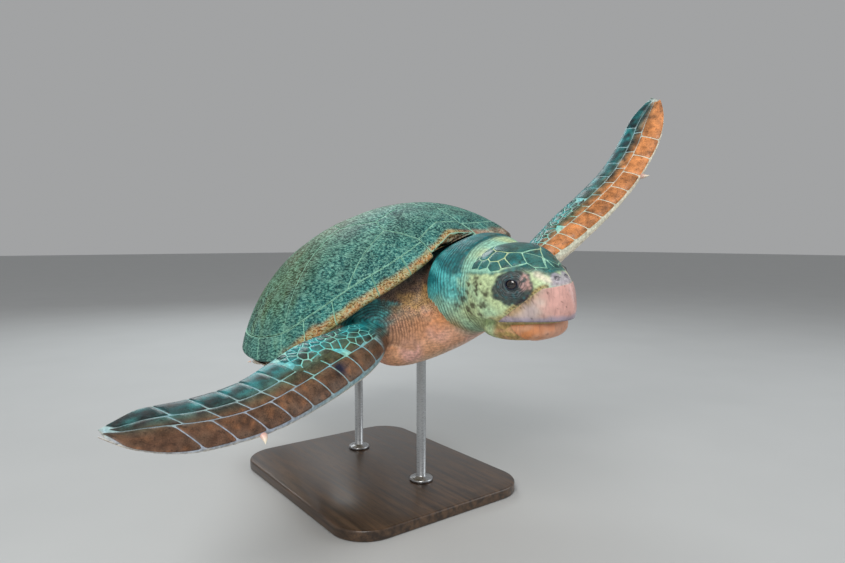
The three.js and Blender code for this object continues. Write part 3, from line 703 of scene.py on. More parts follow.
@dataclass(frozen=True)
class Pigment:
    """The turtle's markings: the colour of a scale's middle and of its seams at every place."""

    drift: Waves = field(default_factory=lambda: Waves(3, 90))
    mottle: Waves = field(default_factory=lambda: Waves(4, 26))
    fleck: Waves = field(default_factory=lambda: Waves(6, 9, 24))

    def at(self, points: Array) -> tuple[Array, Array]:
        """The colours at points of the turtle's frame.

        Args:
            points: positions in millimetres.

        Returns:
            The colours of the middles and of the seams.
        """
        core, seam = self.body(points)
        for flipper in (*FRONT_FLIPPERS.values(), *HIND_FLIPPERS.values()):
            core, seam = self.flipper(points, flipper, core, seam)
        return self.head(points, core, seam)

    def body(self, points: Array) -> tuple[Array, Array]:
        """The colours of trunk, chest and neck."""
        forward, side, up = -points[:, 1], np.abs(points[:, 0]), points[:, 2]
        drift, mottle = self.drift.at(points), self.mottle.at(points)
        core = tinted(plain(len(points), Hue.BUFF), Hue.PINK, ramp(drift, -0.4, 0.8) * 0.8)
        core = tinted(core, Hue.ORANGE, bump_at(up + 10 * mottle, -58, 34) * 0.6)
        core = tinted(core, Hue.OCHRE, ramp(up + 14 * mottle, -48, -14) * 0.8)
        core = tinted(core, Hue.VIOLET, ramp(up + 12 * mottle + side * 0.06, 0, 34) * 0.8)
        core = tinted(core, Hue.DEEP_TEAL, ramp(up + 10 * mottle, 30, 64) * 0.9)
        core = tinted(core, Hue.CREAM, (1 - ramp(up, -140, -116)) * 0.4)
        core = tinted(core, Hue.OLIVE, (1 - ramp(forward, -420, -250)) * ramp(up, -110, -60) * 0.6)
        seam = tinted(core, Hue.CREAM, np.full(len(points), 0.35))
        return core, tinted(seam, Hue.CYAN, ramp(up, 10, 60) * 0.5)

    def flipper(self, points: Array, flipper: Flipper, core: Array, seam: Array) -> tuple[Array, Array]:
        """The colours laid over those of the body on one flipper."""
        place, chordwise, height = flipper.blade_coordinates(points)
        front, left = flipper in FRONT_FLIPPERS.values(), flipper.side is Side.LEFT
        near = (np.abs(chordwise) < 1.5) * (np.abs(height) < 75) * (place < 1.15)
        upper = ramp(height, -3, 3)
        on = near * lerp(ramp(place, 0.0, 0.16),
                         ramp(place + 0.06 * upper + 0.015 * self.mottle.at(points), -0.09, 0.08), upper)
        mottle, fleck = self.mottle.at(points), self.fleck.at(points)
        count = len(points)
        warm = 1 - ramp(chordwise + 0.14 * mottle - 0.3 * ramp(place, 0.25, 0.6), -0.6, 0.0)
        above = tinted(plain(count, Hue.TEAL), Hue.DEEP_TEAL, ramp(mottle, -0.6, 0.5) * 0.85)
        middle = bump_at(chordwise, -0.15, 0.75) * ramp(place, 0.06, 0.25)
        above = tinted(above, Hue.OLIVE, middle * 0.8)
        above = tinted(above, Hue.NAVY, ramp(place, 0.4, 0.8) * ramp(mottle, -0.8, 0.6) * 0.6)
        above = tinted(above, Hue.ORANGE if left and front else Hue.BROWN, warm * 0.9)
        above = tinted(above, Hue.ORANGE, warm * ramp(fleck, 0.2, 1.0) * (0.4 if left else 0.16))
        above = tinted(above, Hue.UMBER, ramp(mottle - fleck * 0.5, 0.1, 1.0) * (0.3 if left else 0.6))
        if front and not left:
            away = np.hypot((place - 0.3) * FRONT_LENGTH, chordwise * BLADE_HALF + 34)
            above = tinted(above, Hue.NAVY, (1 - ramp(away, 8, 17)) * 0.9)
            above = tinted(above, Hue.UMBER, ramp(place, 0.55, 0.9) * 0.35)
        hump = 1 - ramp(place, 0.03, 0.1)
        above = tinted(above, Hue.BUFF,
                       (1 - ramp(place, -0.04, 0.07)) * (1 - ramp(chordwise, -0.7, -0.1)) * 0.85)
        above = tinted(above, Hue.CYAN, hump * ramp(chordwise, -0.6, 0.0) * ramp(mottle, -0.5, 0.8) * 0.6)
        above = tinted(above, Hue.BROWN, hump * (1 - ramp(chordwise, -0.75, -0.35)) * 0.25)
        below = tinted(plain(count, Hue.CREAM), Hue.BUFF, ramp(mottle, -0.3, 0.8) * 0.7)
        below = tinted(below, Hue.BROWN, ramp(place + 0.15 * mottle, 0.55, 1.0) * 0.5)
        line = tinted(plain(count, Hue.CYAN), Hue.SEAFOAM, ramp(mottle, -0.6, 0.6) * 0.7)
        line = tinted(line, Hue.LILAC, ramp(place, 0.3, 0.6) * 0.55)
        line = tinted(line, Hue.CREAM if left else Hue.LILAC, warm * (0.85 if left else 0.6))
        core = tinted(core, tinted(below, above, upper), on)
        return core, tinted(seam, tinted(plain(count, Hue.CREAM), line, upper), on)

    def head(self, points: Array, core: Array, seam: Array) -> tuple[Array, Array]:
        """The colours laid over those of the body on the head."""
        local = moved(points, PLACE.head.inverted())
        forward, side, up = -local[:, 1], np.abs(local[:, 0]), local[:, 2]
        drift, mottle, fleck = self.drift.at(points), self.mottle.at(points), self.fleck.at(points)
        count, flank = len(points), (side > 30) * 1.0
        on = ramp(forward + 0.2 * up, -34, 6) * (side < 125) * (np.abs(up) < 125)
        skin = tinted(plain(count, Hue.YELLOW_GREEN), Hue.SEAFOAM, ramp(drift, -0.2, 1) * 0.6)
        skin = tinted(skin, Hue.OCHRE, (1 - ramp(up + 6 * mottle, -46, -22)) * ramp(forward, 78, 112) * 0.75)
        skin = tinted(skin, Hue.OLIVE, (1 - ramp(up, -88, -40)) * (1 - ramp(forward, 40, 90)) * 0.5)
        rear = 1 - ramp(forward + 10 * mottle, 14, 66)
        skin = tinted(skin, Hue.CYAN, rear * ramp(up, -24, 14) * 0.85)
        skin = tinted(skin, Hue.TEAL, rear * ramp(fleck, -0.1, 0.7) * ramp(up, -50, 20) * 0.7)
        for f, u, size in cheek_blotches():
            away = np.hypot(forward - f, up - u) + 4 * mottle + 5 * fleck
            skin = tinted(skin, Hue.UMBER, (1 - ramp(away, size * 0.2, size * 1.15)) * flank * 0.8)
        crown = ramp(up + 4 * mottle + 9 * ramp(forward, 172, 192), 45, 56)
        skin = tinted(skin, Hue.DEEP_TEAL, crown * 0.92)
        skin = tinted(skin, Hue.TEAL, crown * 0.3)
        skin = tinted(skin, Hue.OLIVE, crown * ramp(mottle, 0.3, 1.1) * 0.35)
        skin = tinted(skin, Hue.TEAL, crown * ramp(fleck, 0.2, 1.0) * 0.7)
        jaw = (1 - ramp(up, -56, -46)) * ramp(forward, 84, 108)
        skin = tinted(skin, Hue.OCHRE, jaw * 0.5)
        skin = tinted(skin, Hue.BUFF, jaw * ramp(mottle, -0.2, 0.6) * 0.6)
        skin = tinted(skin, Hue.OLIVE, jaw * ramp(fleck, 0.3, 0.9) * 0.4)
        off = HORN_BORDER.over(forward, up)
        streaks = np.sin((forward + 1.3 * up) / 1.6 + 1.6 * mottle)
        band = bump_at(off, 5, 9) * ramp(forward, 120, 150) * (1 - ramp(up, 20, 30)) * flank
        skin = tinted(skin, Hue.OCHRE, band * 0.8)
        skin = tinted(skin, Hue.UMBER, band * ramp(streaks, 0.1, 0.8) * 0.8)
        around = np.hypot((forward - 150) / 1.06, up - 21) + 2.4 * mottle + 1.5 * fleck
        patch = (1 - ramp(around, 29, 35)) * flank
        skin = tinted(skin, Hue.NAVY, patch * 0.9)
        skin = tinted(skin, Hue.TEAL, patch * ramp(fleck, 0.2, 0.9) * 0.35)
        before = patch * ramp(forward, 158, 168) * ramp(up, 12, 22) * (1 - ramp(around, 26, 33))
        skin = tinted(skin, Hue.PINK, before * ramp(fleck, -0.9, 0.5) * 0.75)
        brow = bump_at(up - 38 + 0.62 * (forward - 193), 0, 8) * ramp(forward, 172, 186)
        skin = tinted(skin, Hue.CREAM, brow * 0.85)
        nose = np.linalg.norm(np.stack([forward - NOSTRIL_AT[0], side - NOSTRIL_AT[1], up - NOSTRIL_AT[2]]),
                              axis=0)
        skin = tinted(skin, Hue.LILAC,
                      np.maximum(1 - ramp(nose, 10, 16), ramp(forward, 204, 212) * ramp(up, 14, 24)) * 0.8)
        skin = tinted(skin, Hue.NAVY, (1 - ramp(nose, 4.6, 6.4)) * 0.95)
        line = tinted(plain(count, Hue.SEAFOAM), Hue.YELLOW_GREEN, ramp(drift, -0.5, 0.8))
        line = tinted(line, Hue.TEAL, ramp(-forward, -60, -10) * 0.5)
        line = tinted(line, skin, (1 - crown) * 0.6)
        return tinted(core, skin, on), tinted(seam, line, on)


@dataclass(frozen=True)
class HornBorder:
    """The line in side view where the upper beak's horn ends and the skin begins."""

    back: tuple[float, float] = (120.0, -42.0)
    bend: tuple[float, float] = (200.0, 18.0)
    front: tuple[float, float] = (300.0, 26.0)

    def over(self, forward: Array, up: Array) -> Array:
        """How far places lie over the border."""
        behind, ahead = (self.height(a, b, forward) for a,
                         b in ((self.back, self.bend), (self.bend, self.front)))
        return up - np.minimum(behind, ahead)

    @staticmethod
    def height(a: tuple[float, float], b: tuple[float, float], forward: Array) -> Array:
        """The height of the line through two points."""
        return a[1] + (forward - a[0]) * (b[1] - a[1]) / (b[0] - a[0])


HORN_BORDER = HornBorder()
PIGMENT = Pigment()


# ---------------------------------------------------------------- the skin


@dataclass
class Grid:
    """Plain arrays of a mesh, for sculpting it: positions, edges and faces as quads."""

    points: Array
    edges: Array
    quads: Array

    @classmethod
    def of(cls, bm: bmesh.types.BMesh) -> "Grid":
        """The arrays of a mesh; a triangle repeats its last corner."""
        bm.verts.index_update()
        edges = np.array([[v.index for v in e.verts] for e in bm.edges])
        quads = np.array([([v.index for v in f.verts] * 2)[:3] + [f.verts[-1].index] for f in bm.faces])
        return cls(coordinates(bm), edges, quads)

    def normals(self) -> Array:
        """Vertex normals from the faces' diagonals."""
        p, q = self.points, self.quads
        face = np.cross(p[q[:, 2]] - p[q[:, 0]], p[q[:, 3]] - p[q[:, 1]])
        total = np.zeros_like(p)
        for corner in range(4):
            np.add.at(total, q[:, corner], face)
        return total / np.maximum(np.linalg.norm(total, axis=1), 1e-9)[:, None]

    def pull(self) -> Array:
        """From each vertex to the middle of its neighbours."""
        total, count = np.zeros_like(self.points), np.zeros(len(self.points))
        for a, b in ((0, 1), (1, 0)):
            np.add.at(total, self.edges[:, a], self.points[self.edges[:, b]])
            np.add.at(count, self.edges[:, a], 1)
        return total / np.maximum(count, 1)[:, None] - self.points

    def fill_creases(self, rounds: int) -> None:
        """Rounds off the creases where two forms meet and leaves the rest."""
        for step in range(rounds):
            if step % 4 == 0:
                normal = self.normals()
            pull = self.pull()
            hollow = (pull * normal).sum(1)
            self.points += pull * np.where(hollow > 0.03, 0.6, 0.0)[:, None]

    def smooth(self, weight: Array, rounds: int) -> None:
        """Evens the surface out where the weight is above 0."""
        for _ in range(rounds):
            self.points += self.pull() * (weight * 0.5)[:, None]


@dataclass
class Skin:
    """The one skin of head, neck, trunk, flippers and tail."""

    inset: float = SKIN_INSET
    voxel: float = 5.2
    lip: float = 3.0
    mouth_corner: tuple[float, float] = (112.0, -42.0)
    mouth_front_up: float = -50.0
    cheek_slant: float = 30.0

    def mouth_plane(self) -> tuple[Vector, Vector]:
        """A point of the mouth's plane and its normal, pointing down, in the head's frame."""
        forward, up = self.mouth_corner
        line = spot(300 - forward, 0, self.mouth_front_up - up)
        return spot(forward, 0, up), Vector((1, 0, 0)).cross(line).normalized()

    def cheek_plane(self) -> tuple[Vector, Vector]:
        """The slanting plane from the mouth's corner down to the throat; its normal points forward."""
        forward, up = self.mouth_corner
        line = spot(self.cheek_slant, 0, 140 + up)
        return spot(forward, 0, up), line.cross(Vector((1, 0, 0))).normalized()

    def head_forms(self) -> list[bmesh.types.BMesh]:
        """The cranium over the mouth, the cheeks behind it and the jaw, in the turtle's frame."""
        mouth, down = self.mouth_plane()
        cheek, ahead = self.cheek_plane()
        upper = HEAD.mesh(96, 72, -self.inset)
        bisected(upper, mouth - down * self.lip, down)
        rear = HEAD.mesh(96, 72, -self.inset)
        bisected(rear, cheek, ahead)
        jaw = JAW.mesh(72, 60, -self.inset)
        bisected(jaw, mouth - down * (self.lip + 4), -down)
        for form in (upper, rear, jaw):
            form.transform(PLACE.head)
        return [upper, rear, jaw]

    def trunk_form(self) -> bmesh.types.BMesh:
        """The flesh between the carapace and the plastron."""
        bm = bmesh.new()
        bmesh.ops.create_uvsphere(bm, u_segments=96, v_segments=64, radius=1.0)
        ball = coordinates(bm)
        share = np.arccos(np.clip(ball[:, 2], -1, 1)) / math.pi
        turn = np.arctan2(ball[:, 1], ball[:, 0])
        reach = np.sin(math.pi * share) ** 0.8 * 0.94
        over = SHELL.sunk(SHELL.dome, turn, reach, SHELL.carapace + 1.5 + self.inset, -1)
        under = SHELL.sunk(SHELL.dish, turn, reach, SHELL.plastron + 0.5 + self.inset, 1)
        set_coordinates(bm, np.where((share < 0.5)[:, None], over, under))
        bmesh.ops.recalc_face_normals(bm, faces=bm.faces)
        return bm

    def forms(self) -> list[bmesh.types.BMesh]:
        """Every form of flesh, overlapping its neighbours."""
        grow = -self.inset
        limbs = [f.mesh(56, 130, grow) for f in FRONT_FLIPPERS.values()]
        limbs += [f.mesh(44, 80, grow) for f in HIND_FLIPPERS.values()]
        bodies = [NECK.mesh(96, 60, grow), CHEST.mesh(96, 60, grow), TAIL.mesh(36, 40, grow)]
        return [self.trunk_form(), *bodies, *limbs, *self.head_forms()]

    def under_shell(self, points: Array) -> Array:
        """Draws points that lie in the carapace or the plastron to their inner faces."""
        forward, left = -points[:, 1], points[:, 0]
        turn, reach = SHELL.turn_and_reach(forward, left)
        inside = reach < 0.985
        reach = np.minimum(reach, 0.985)
        ceiling = SHELL.dome(turn, reach)[:, 2] - SHELL.carapace - 2
        floor = SHELL.dish(turn, reach)[:, 2] + SHELL.plastron + 1.5
        within = inside & plastron_room(forward, left)
        height = np.where(inside, np.minimum(points[:, 2], ceiling), points[:, 2])
        height = np.where(within & (floor < ceiling), np.maximum(height, floor), height)
        return np.stack([points[:, 0], points[:, 1], height], 1)

    def within_jaw(self, points: Array) -> Array:
        """Clears the skin from the mouth: up into the upper beak, or in to the jaw's own form."""
        jaw = JAW.mesh(72, 60, -self.inset)
        jaw.transform(PLACE.head)
        bmesh.ops.recalc_face_normals(jaw, faces=jaw.faces)
        level = BVHTree.FromBMesh(jaw)
        jaw.free()
        local = moved(points, PLACE.head.inverted())
        mouth, down = self.mouth_plane()
        forward, below = -local[:, 1], (local - np.array(mouth)) @ np.array(down)
        near = (np.abs(local[:, 0]) < 110) & (local[:, 2] > -125)
        weight = ramp(forward, 112, 126) * (below > -self.lip) * near
        lift = np.array(PLACE.head)[:3, :3] @ np.array(down)
        drawn = points.copy()
        for i in np.flatnonzero(weight):
            nearest, outward, _, _ = level.find_nearest(Vector(points[i]))
            off = points[i] - np.array(nearest)
            if off @ np.array(outward) > 0:
                raised = np.linalg.norm(off) > 2.2 and below[i] < 3
                drawn[i] -= weight[i] * (lift * (below[i] + self.lip) if raised else off)
        return drawn

    def hidden(self, points: Array) -> Array:
        """1 where the shell covers the skin and 0 where it shows."""
        forward, left, up = -points[:, 1], points[:, 0], points[:, 2]
        turn, reach = SHELL.turn_and_reach(forward, left)
        reach = np.minimum(reach, 1)
        deep = reach < 0.86
        ceiling, floor = SHELL.dome(turn, reach)[:, 2] - 30, SHELL.dish(turn, reach)[:, 2] + 26
        under = deep & (up > ceiling) | plastron_room(forward, np.abs(left) + 20) & (up < floor)
        return (under & (forward < 300)).astype(float)

    def thinned(self, bm: bmesh.types.BMesh) -> bmesh.types.BMesh:
        """The mesh with far fewer faces where the shell covers it."""
        weights = self.hidden(coordinates(bm))
        share = float(weights.mean())
        return with_modifier(bm, "DECIMATE", weights, ratio=1 - 0.93 * share, vertex_group="weights")

    def base(self) -> bmesh.types.BMesh:
        """The forms as one even mesh, with soft joins between them."""
        bm = with_modifier(joined(self.forms()), "REMESH", mode="VOXEL", voxel_size=self.voxel)
        grid = Grid.of(bm)
        grid.fill_creases(26)
        for flipper in (*FRONT_FLIPPERS.values(), *HIND_FLIPPERS.values()):
            grid.points = flipper.settled(grid.points, -self.inset)
        set_coordinates(bm, self.under_shell(grid.points))
        bm.normal_update()
        return bm

    def refine_head(self, bm: bmesh.types.BMesh) -> None:
        """Halves the mesh's faces over the head."""
        local = moved(coordinates(bm), PLACE.head.inverted())
        forward = -local[:, 1]
        on = (forward > 4) & (np.abs(local[:, 0]) < 115) & (np.abs(local[:, 2]) < 110)
        bm.verts.index_update()
        edges = [e for e in bm.edges if on[e.verts[0].index] and on[e.verts[1].index]]
        bmesh.ops.subdivide_edges(bm, edges=edges, cuts=1, use_grid_fill=True, smooth=0.2)

    def sculpt_head(self, bm: bmesh.types.BMesh) -> None:
        """Sinks the eyes' sockets and the nostrils, and raises the brows."""
        points, outward = coordinates(bm), normals(bm)
        local = moved(points, PLACE.head.inverted())
        forward, side, up = -local[:, 1], np.abs(local[:, 0]), local[:, 2]
        on = (forward > 60) & (side > 20)
        around = np.hypot(forward - EYE_AT[0], up - EYE_AT[2])
        rise = -8.0 * (1 - ramp(around, 12, 27)) * on
        rise += 0.3 * bump_at(np.hypot((forward - 152) / 2.0, up - 52), 0, 12) * on
        nose = np.linalg.norm(np.stack([forward, side, up], 1) - np.array(NOSTRIL_AT), axis=1)
        rise += 1.0 * bump_at(nose, 7, 5) - 6.5 * (1 - ramp(nose, 2.4, 5.6))
        set_coordinates(bm, points + outward * rise[:, None])

    def attributes(self, points: Array) -> dict[str, Array]:
        """The skin's markings and wrinkles at points of the turtle's frame."""
        core, seam = PIGMENT.at(points)
        local = moved(points, PLACE.head.inverted())
        forward, side, up = -local[:, 1], np.abs(local[:, 0]), local[:, 2]
        coated = ramp(up, 48, 56) * ramp(forward, 26, 36) * (forward < 192) * (side < 105) * (up < 120)
        coated = coated * ramp(np.hypot(forward - 148, up - 24), 34, 40)
        head = ramp(forward, -10, 14) * (side < 125) * (np.abs(up) < 125)
        body_up, body_forward = points[:, 2], -points[:, 1]
        phase = 2 * math.pi * (body_up + 0.45 * body_forward) / 6.5
        # wrinkled: how deep the skin's folds are, which sets both their bump and the painted shade in their
        # troughs
        wrinkled = 0.16 * (1 - ramp(body_up, -86, -50)) * (1 - head) * ramp(body_forward, 240, 300)
        collar = bump_at(body_forward - 0.2 * body_up, 450, 38) * (side < 125) * (np.abs(up) < 125)
        phase = np.where(collar > 0.1, 2 * math.pi * (body_forward - 0.2 * body_up) / NeckFolds.pitch, phase)
        wrinkled = np.maximum(wrinkled, collar * 0.75)
        # how many dark flecks the skin has, and how strong the painted shade in its creases is
        speckled = (1 - head) * ramp(body_up, -70, -22) * 0.95 + 0.05 * (1 - head)
        for flipper in (*FRONT_FLIPPERS.values(), *HIND_FLIPPERS.values()):
            place, chordwise, height = flipper.blade_coordinates(points)
            near = (np.abs(chordwise) < 1.5) * (np.abs(height) < 70) * (place < 1.15) * (place > -0.2)
            coated = np.maximum(coated, ramp(place, 0.06, 0.1) * near)
            hump = near * bump_at(place, 0.01, 0.15) * ramp(body_up, -92, -48)
            away = np.linalg.norm(points - np.array(flipper.shoulder), axis=1)
            phase = np.where(hump > 0.1, 2 * math.pi * away / 5.5, phase)
            wrinkled = np.maximum(wrinkled * (1 - near * ramp(place, 0.03, 0.09)), hump * 0.9)
            speckled = speckled * (1 - near * ramp(place, -0.04, 0.08))
        return {"pigment": tinted(core, seam, coated), "phase": phase, "wrinkled": wrinkled,
                "speckled": speckled}

    def dress(self, material: bpy.types.Material) -> None:
        """Builds the skin, with the neck's folds and the eyelids joined to it."""
        bm = self.thinned(self.base())
        self.refine_head(bm)
        set_coordinates(bm, self.within_jaw(coordinates(bm)))
        bm.normal_update()
        level = BVHTree.FromBMesh(bm)
        self.sculpt_head(bm)
        parts, values = [bm], [self.attributes(coordinates(bm))]
        for part, extra in (NeckFolds().build(), *(Eyelids(side).build(level) for side in Side)):
            found = self.attributes(coordinates(part))
            found.update(extra)
            parts.append(part)
            values.append(found)
        whole = {key: np.concatenate([v[key] for v in values]) for key in values[0]}
        nodes = ["head", "lower_jaw", "neck", "trunk", "tail"]
        nodes += [f"{pair}_flipper_{side.label}" for pair in ("front", "hind") for side in Side]
        Piece("skin", joined(parts), material, "skin", nodes).paint(**whole)


@dataclass
class NeckFolds:
    """The neck's collar of close folds behind the head."""

    rear: float = 352.0
    front: float = 452.0
    slant: float = 0.2
    pitch: float = 6.4
    height: float = 1.9
    around: int = 150

    def build(self) -> tuple[bmesh.types.BMesh, dict[str, Array]]:
        """The collar as a closed mesh, and what its finish needs."""
        rings = round((self.front - self.rear) / 1.3)
        bm = bmesh.new()
        bmesh.ops.create_cone(bm, cap_ends=True, segments=self.around, radius1=1, radius2=1, depth=1)
        scored(bm, Vector((0, 0, 1)), -0.5 + 1 / rings, 0.5 - 0.5 / rings, 1 / rings)
        tube = coordinates(bm)
        turn = np.arctan2(tube[:, 1], tube[:, 0])
        level = lerp(self.rear, self.front, tube[:, 2] + 0.5)
        forward = level + self.slant * 90 * np.sin(turn)
        surface, outward = NECK.surface(forward, turn, 0.0)
        place = level + 5 * Waves(31, 120).at(surface) + 2.0 * Waves(32, 40).at(surface)
        ridge = np.abs(np.sin(math.pi * place / self.pitch)) ** 0.6
        ends = ramp(level, self.rear, self.rear + 8) * (1 - ramp(level, self.front - 10, self.front))
        depth = (1 - 0.75 * ramp(level, self.front - 46,
                                 self.front - 8)) * (0.8 + 0.3 * Waves(33, 60).at(surface))
        points = surface + outward * (self.height * (ridge - 0.5) * depth * ends - 3.5 * (1 - ends))[:, None]
        set_coordinates(bm, points)
        bmesh.ops.recalc_face_normals(bm, faces=bm.faces)
        own, _ = PIGMENT.at(points)
        back = 1 - ramp(level, self.front - 52, self.front - 14)
        core = tinted(own, self.colours(points), back)
        # painted shade: navy in the troughs between the collar's folds, stronger towards its rear
        dark = (1 - ramp(ridge, 0.3, 0.85)) * (0.35 + 0.5 * back)
        zero = np.zeros(len(points))
        return bm, {"pigment": tinted(core, Hue.NAVY, dark), "speckled": zero + 0.1, "wrinkled": zero}

    def colours(self, points: Array) -> Array:
        """Cyan above, yellow-green at the sides and cream to orange-brown below."""
        up, mottle = points[:, 2], Waves(34, 40).at(points)
        core = tinted(plain(len(points), Hue.TEAL), Hue.CYAN, ramp(mottle, -0.4, 0.7) * 0.75)
        core = tinted(core, Hue.DEEP_TEAL, ramp(up, 50, 76) * 0.5)
        core = tinted(core, Hue.SEAFOAM, 1 - ramp(up + 8 * mottle, -34, 14))
        core = tinted(core, Hue.OCHRE, (1 - ramp(up + 8 * mottle, -84, -40)) * 0.8)
        return tinted(core, Hue.BUFF, 1 - ramp(up + 8 * mottle, -122, -84))


@dataclass
class Eyelids:
    """The wrinkled lids round one eye."""

    side: Side
    opening: tuple[float, float] = (11.4, 8.6)
    reach: float = 34.0
    rings: int = 38
    around: int = 72
    pitch: float = 3.6

    def build(self, level: BVHTree) -> tuple[bmesh.types.BMesh, dict[str, Array]]:
        """The lids as a ring that meets the skin, and what their finish needs.

        Args:
            level: the head's skin before the socket was sunk, in the turtle's frame.

        Returns:
            The mesh and its own attributes.
        """
        bm = bmesh.new()
        points = [bm.verts.new((1 + i, 0, 0)) for i in range(self.rings + 1)]
        for a, b in zip(points, points[1:]):
            bm.edges.new((a, b))
        bmesh.ops.spin(bm, geom=bm.verts[:] + bm.edges[:], axis=(0, 0, 1), angle=2 * math.pi,
                       steps=self.around, use_merge=True)
        bmesh.ops.remove_doubles(bm, verts=bm.verts, dist=0.01)
        flat = coordinates(bm)
        share = (np.hypot(flat[:, 0], flat[:, 1]) - 1) / self.rings
        turn = np.arctan2(flat[:, 1], flat[:, 0])
        wide, tall = self.opening
        edge = wide * tall / np.hypot(tall * np.cos(turn), wide * np.sin(turn))
        reach = self.reach * (1 - 0.3 * np.maximum(0, np.sin(turn)))
        away = lerp(edge - 1.6, reach, share)
        forward, left, up = EYE_AT
        centre = np.array(spot(forward, left * self.side.value, up))
        out = spot(EYE_AXIS[0], EYE_AXIS[1] * self.side.value, EYE_AXIS[2]).normalized()
        ahead = Vector((0, 0, 1)).cross(out).normalized() * -self.side.value
        over = out.cross(ahead).normalized() * -self.side.value
        across = (np.outer(away * np.cos(turn), ahead) + np.outer(away * np.sin(turn), over))
        out, world_out = np.array(out), Vector(np.array(PLACE.head)[:3, :3] @ np.array(out))
        levels = np.zeros(len(away))
        for i, point in enumerate(moved(centre + across + out * 70, PLACE.head)):
            hit, _, _, distance = level.ray_cast(Vector(point), -world_out)
            levels[i] = 70 - distance if hit else -30
        ball = np.sqrt(np.maximum(EYE_RADIUS ** 2 - away ** 2, 0))
        wrinkle = np.abs(np.sin(math.pi * (away - edge + 2.4 * Waves(41, 16).at(across)) / self.pitch)) ** 0.6
        open_skin = levels + 1.2 * bump_at(away, 19, 10) + (wrinkle - 0.6) * 0.45 * ramp(away - edge, 1, 5)
        open_skin -= 2.2 * ramp(away - reach, -7, 0)
        lid = ball + 1.5 - 3.4 * (1 - ramp(away - edge, -1.4, 0.2))
        height = lerp(lid, open_skin, ramp(away - edge, 0.2, 7.5))
        height = np.maximum(height, np.where(away > edge, ball + 0.9, -50.0))
        set_coordinates(bm, moved(centre + across + out * height[:, None], PLACE.head))
        bmesh.ops.recalc_face_normals(bm, faces=bm.faces)
        bm.normal_update()
        if next(iter(bm.faces)).normal.dot(world_out) < 0:
            bmesh.ops.reverse_faces(bm, faces=bm.faces)
        found, _ = PIGMENT.at(coordinates(bm))
        # painted shade: navy in the troughs of the lids' wrinkles; painted highlight: faint lilac on their
        # crests; the lids are also darkened right at their opening
        crease = (1 - ramp(wrinkle, 0.35, 0.85)) * ramp(away - edge, 0.5, 3) * (1 - ramp(away - reach, -9, 0))
        light = tinted(found, Hue.LILAC, ramp(wrinkle, 0.75, 1.0) * 0.14 * (1 - ramp(away, 24, 34)))
        pigment = tinted(light, Hue.NAVY, np.maximum(crease * 0.5, 1 - ramp(away - edge, 0.4, 2.5)))
        zero = np.zeros(len(away))
        return bm, {"pigment": pigment, "wrinkled": zero, "speckled": zero}


def plastron_room(forward: Array, left: Array) -> Array:
    """Whether places in plan lie over the plastron, a little inside its outline."""
    outline = Stations(tuple(sorted(PLASTRON_OUTLINE)))
    rows = np.array(outline.rows)
    half = np.interp(forward, rows[:, 0], rows[:, 1], left=0, right=0)
    return np.abs(left) < half - 6


PLASTRON_OUTLINE = ((298, 20), (286, 62), (236, 118), (158, 178), (120, 232), (104, 380), (-134, 380),
                    (-156, 226), (-214, 152), (-314, 96), (-392, 56), (-408, 20))


# ---------------------------------------------------------------- shell plates


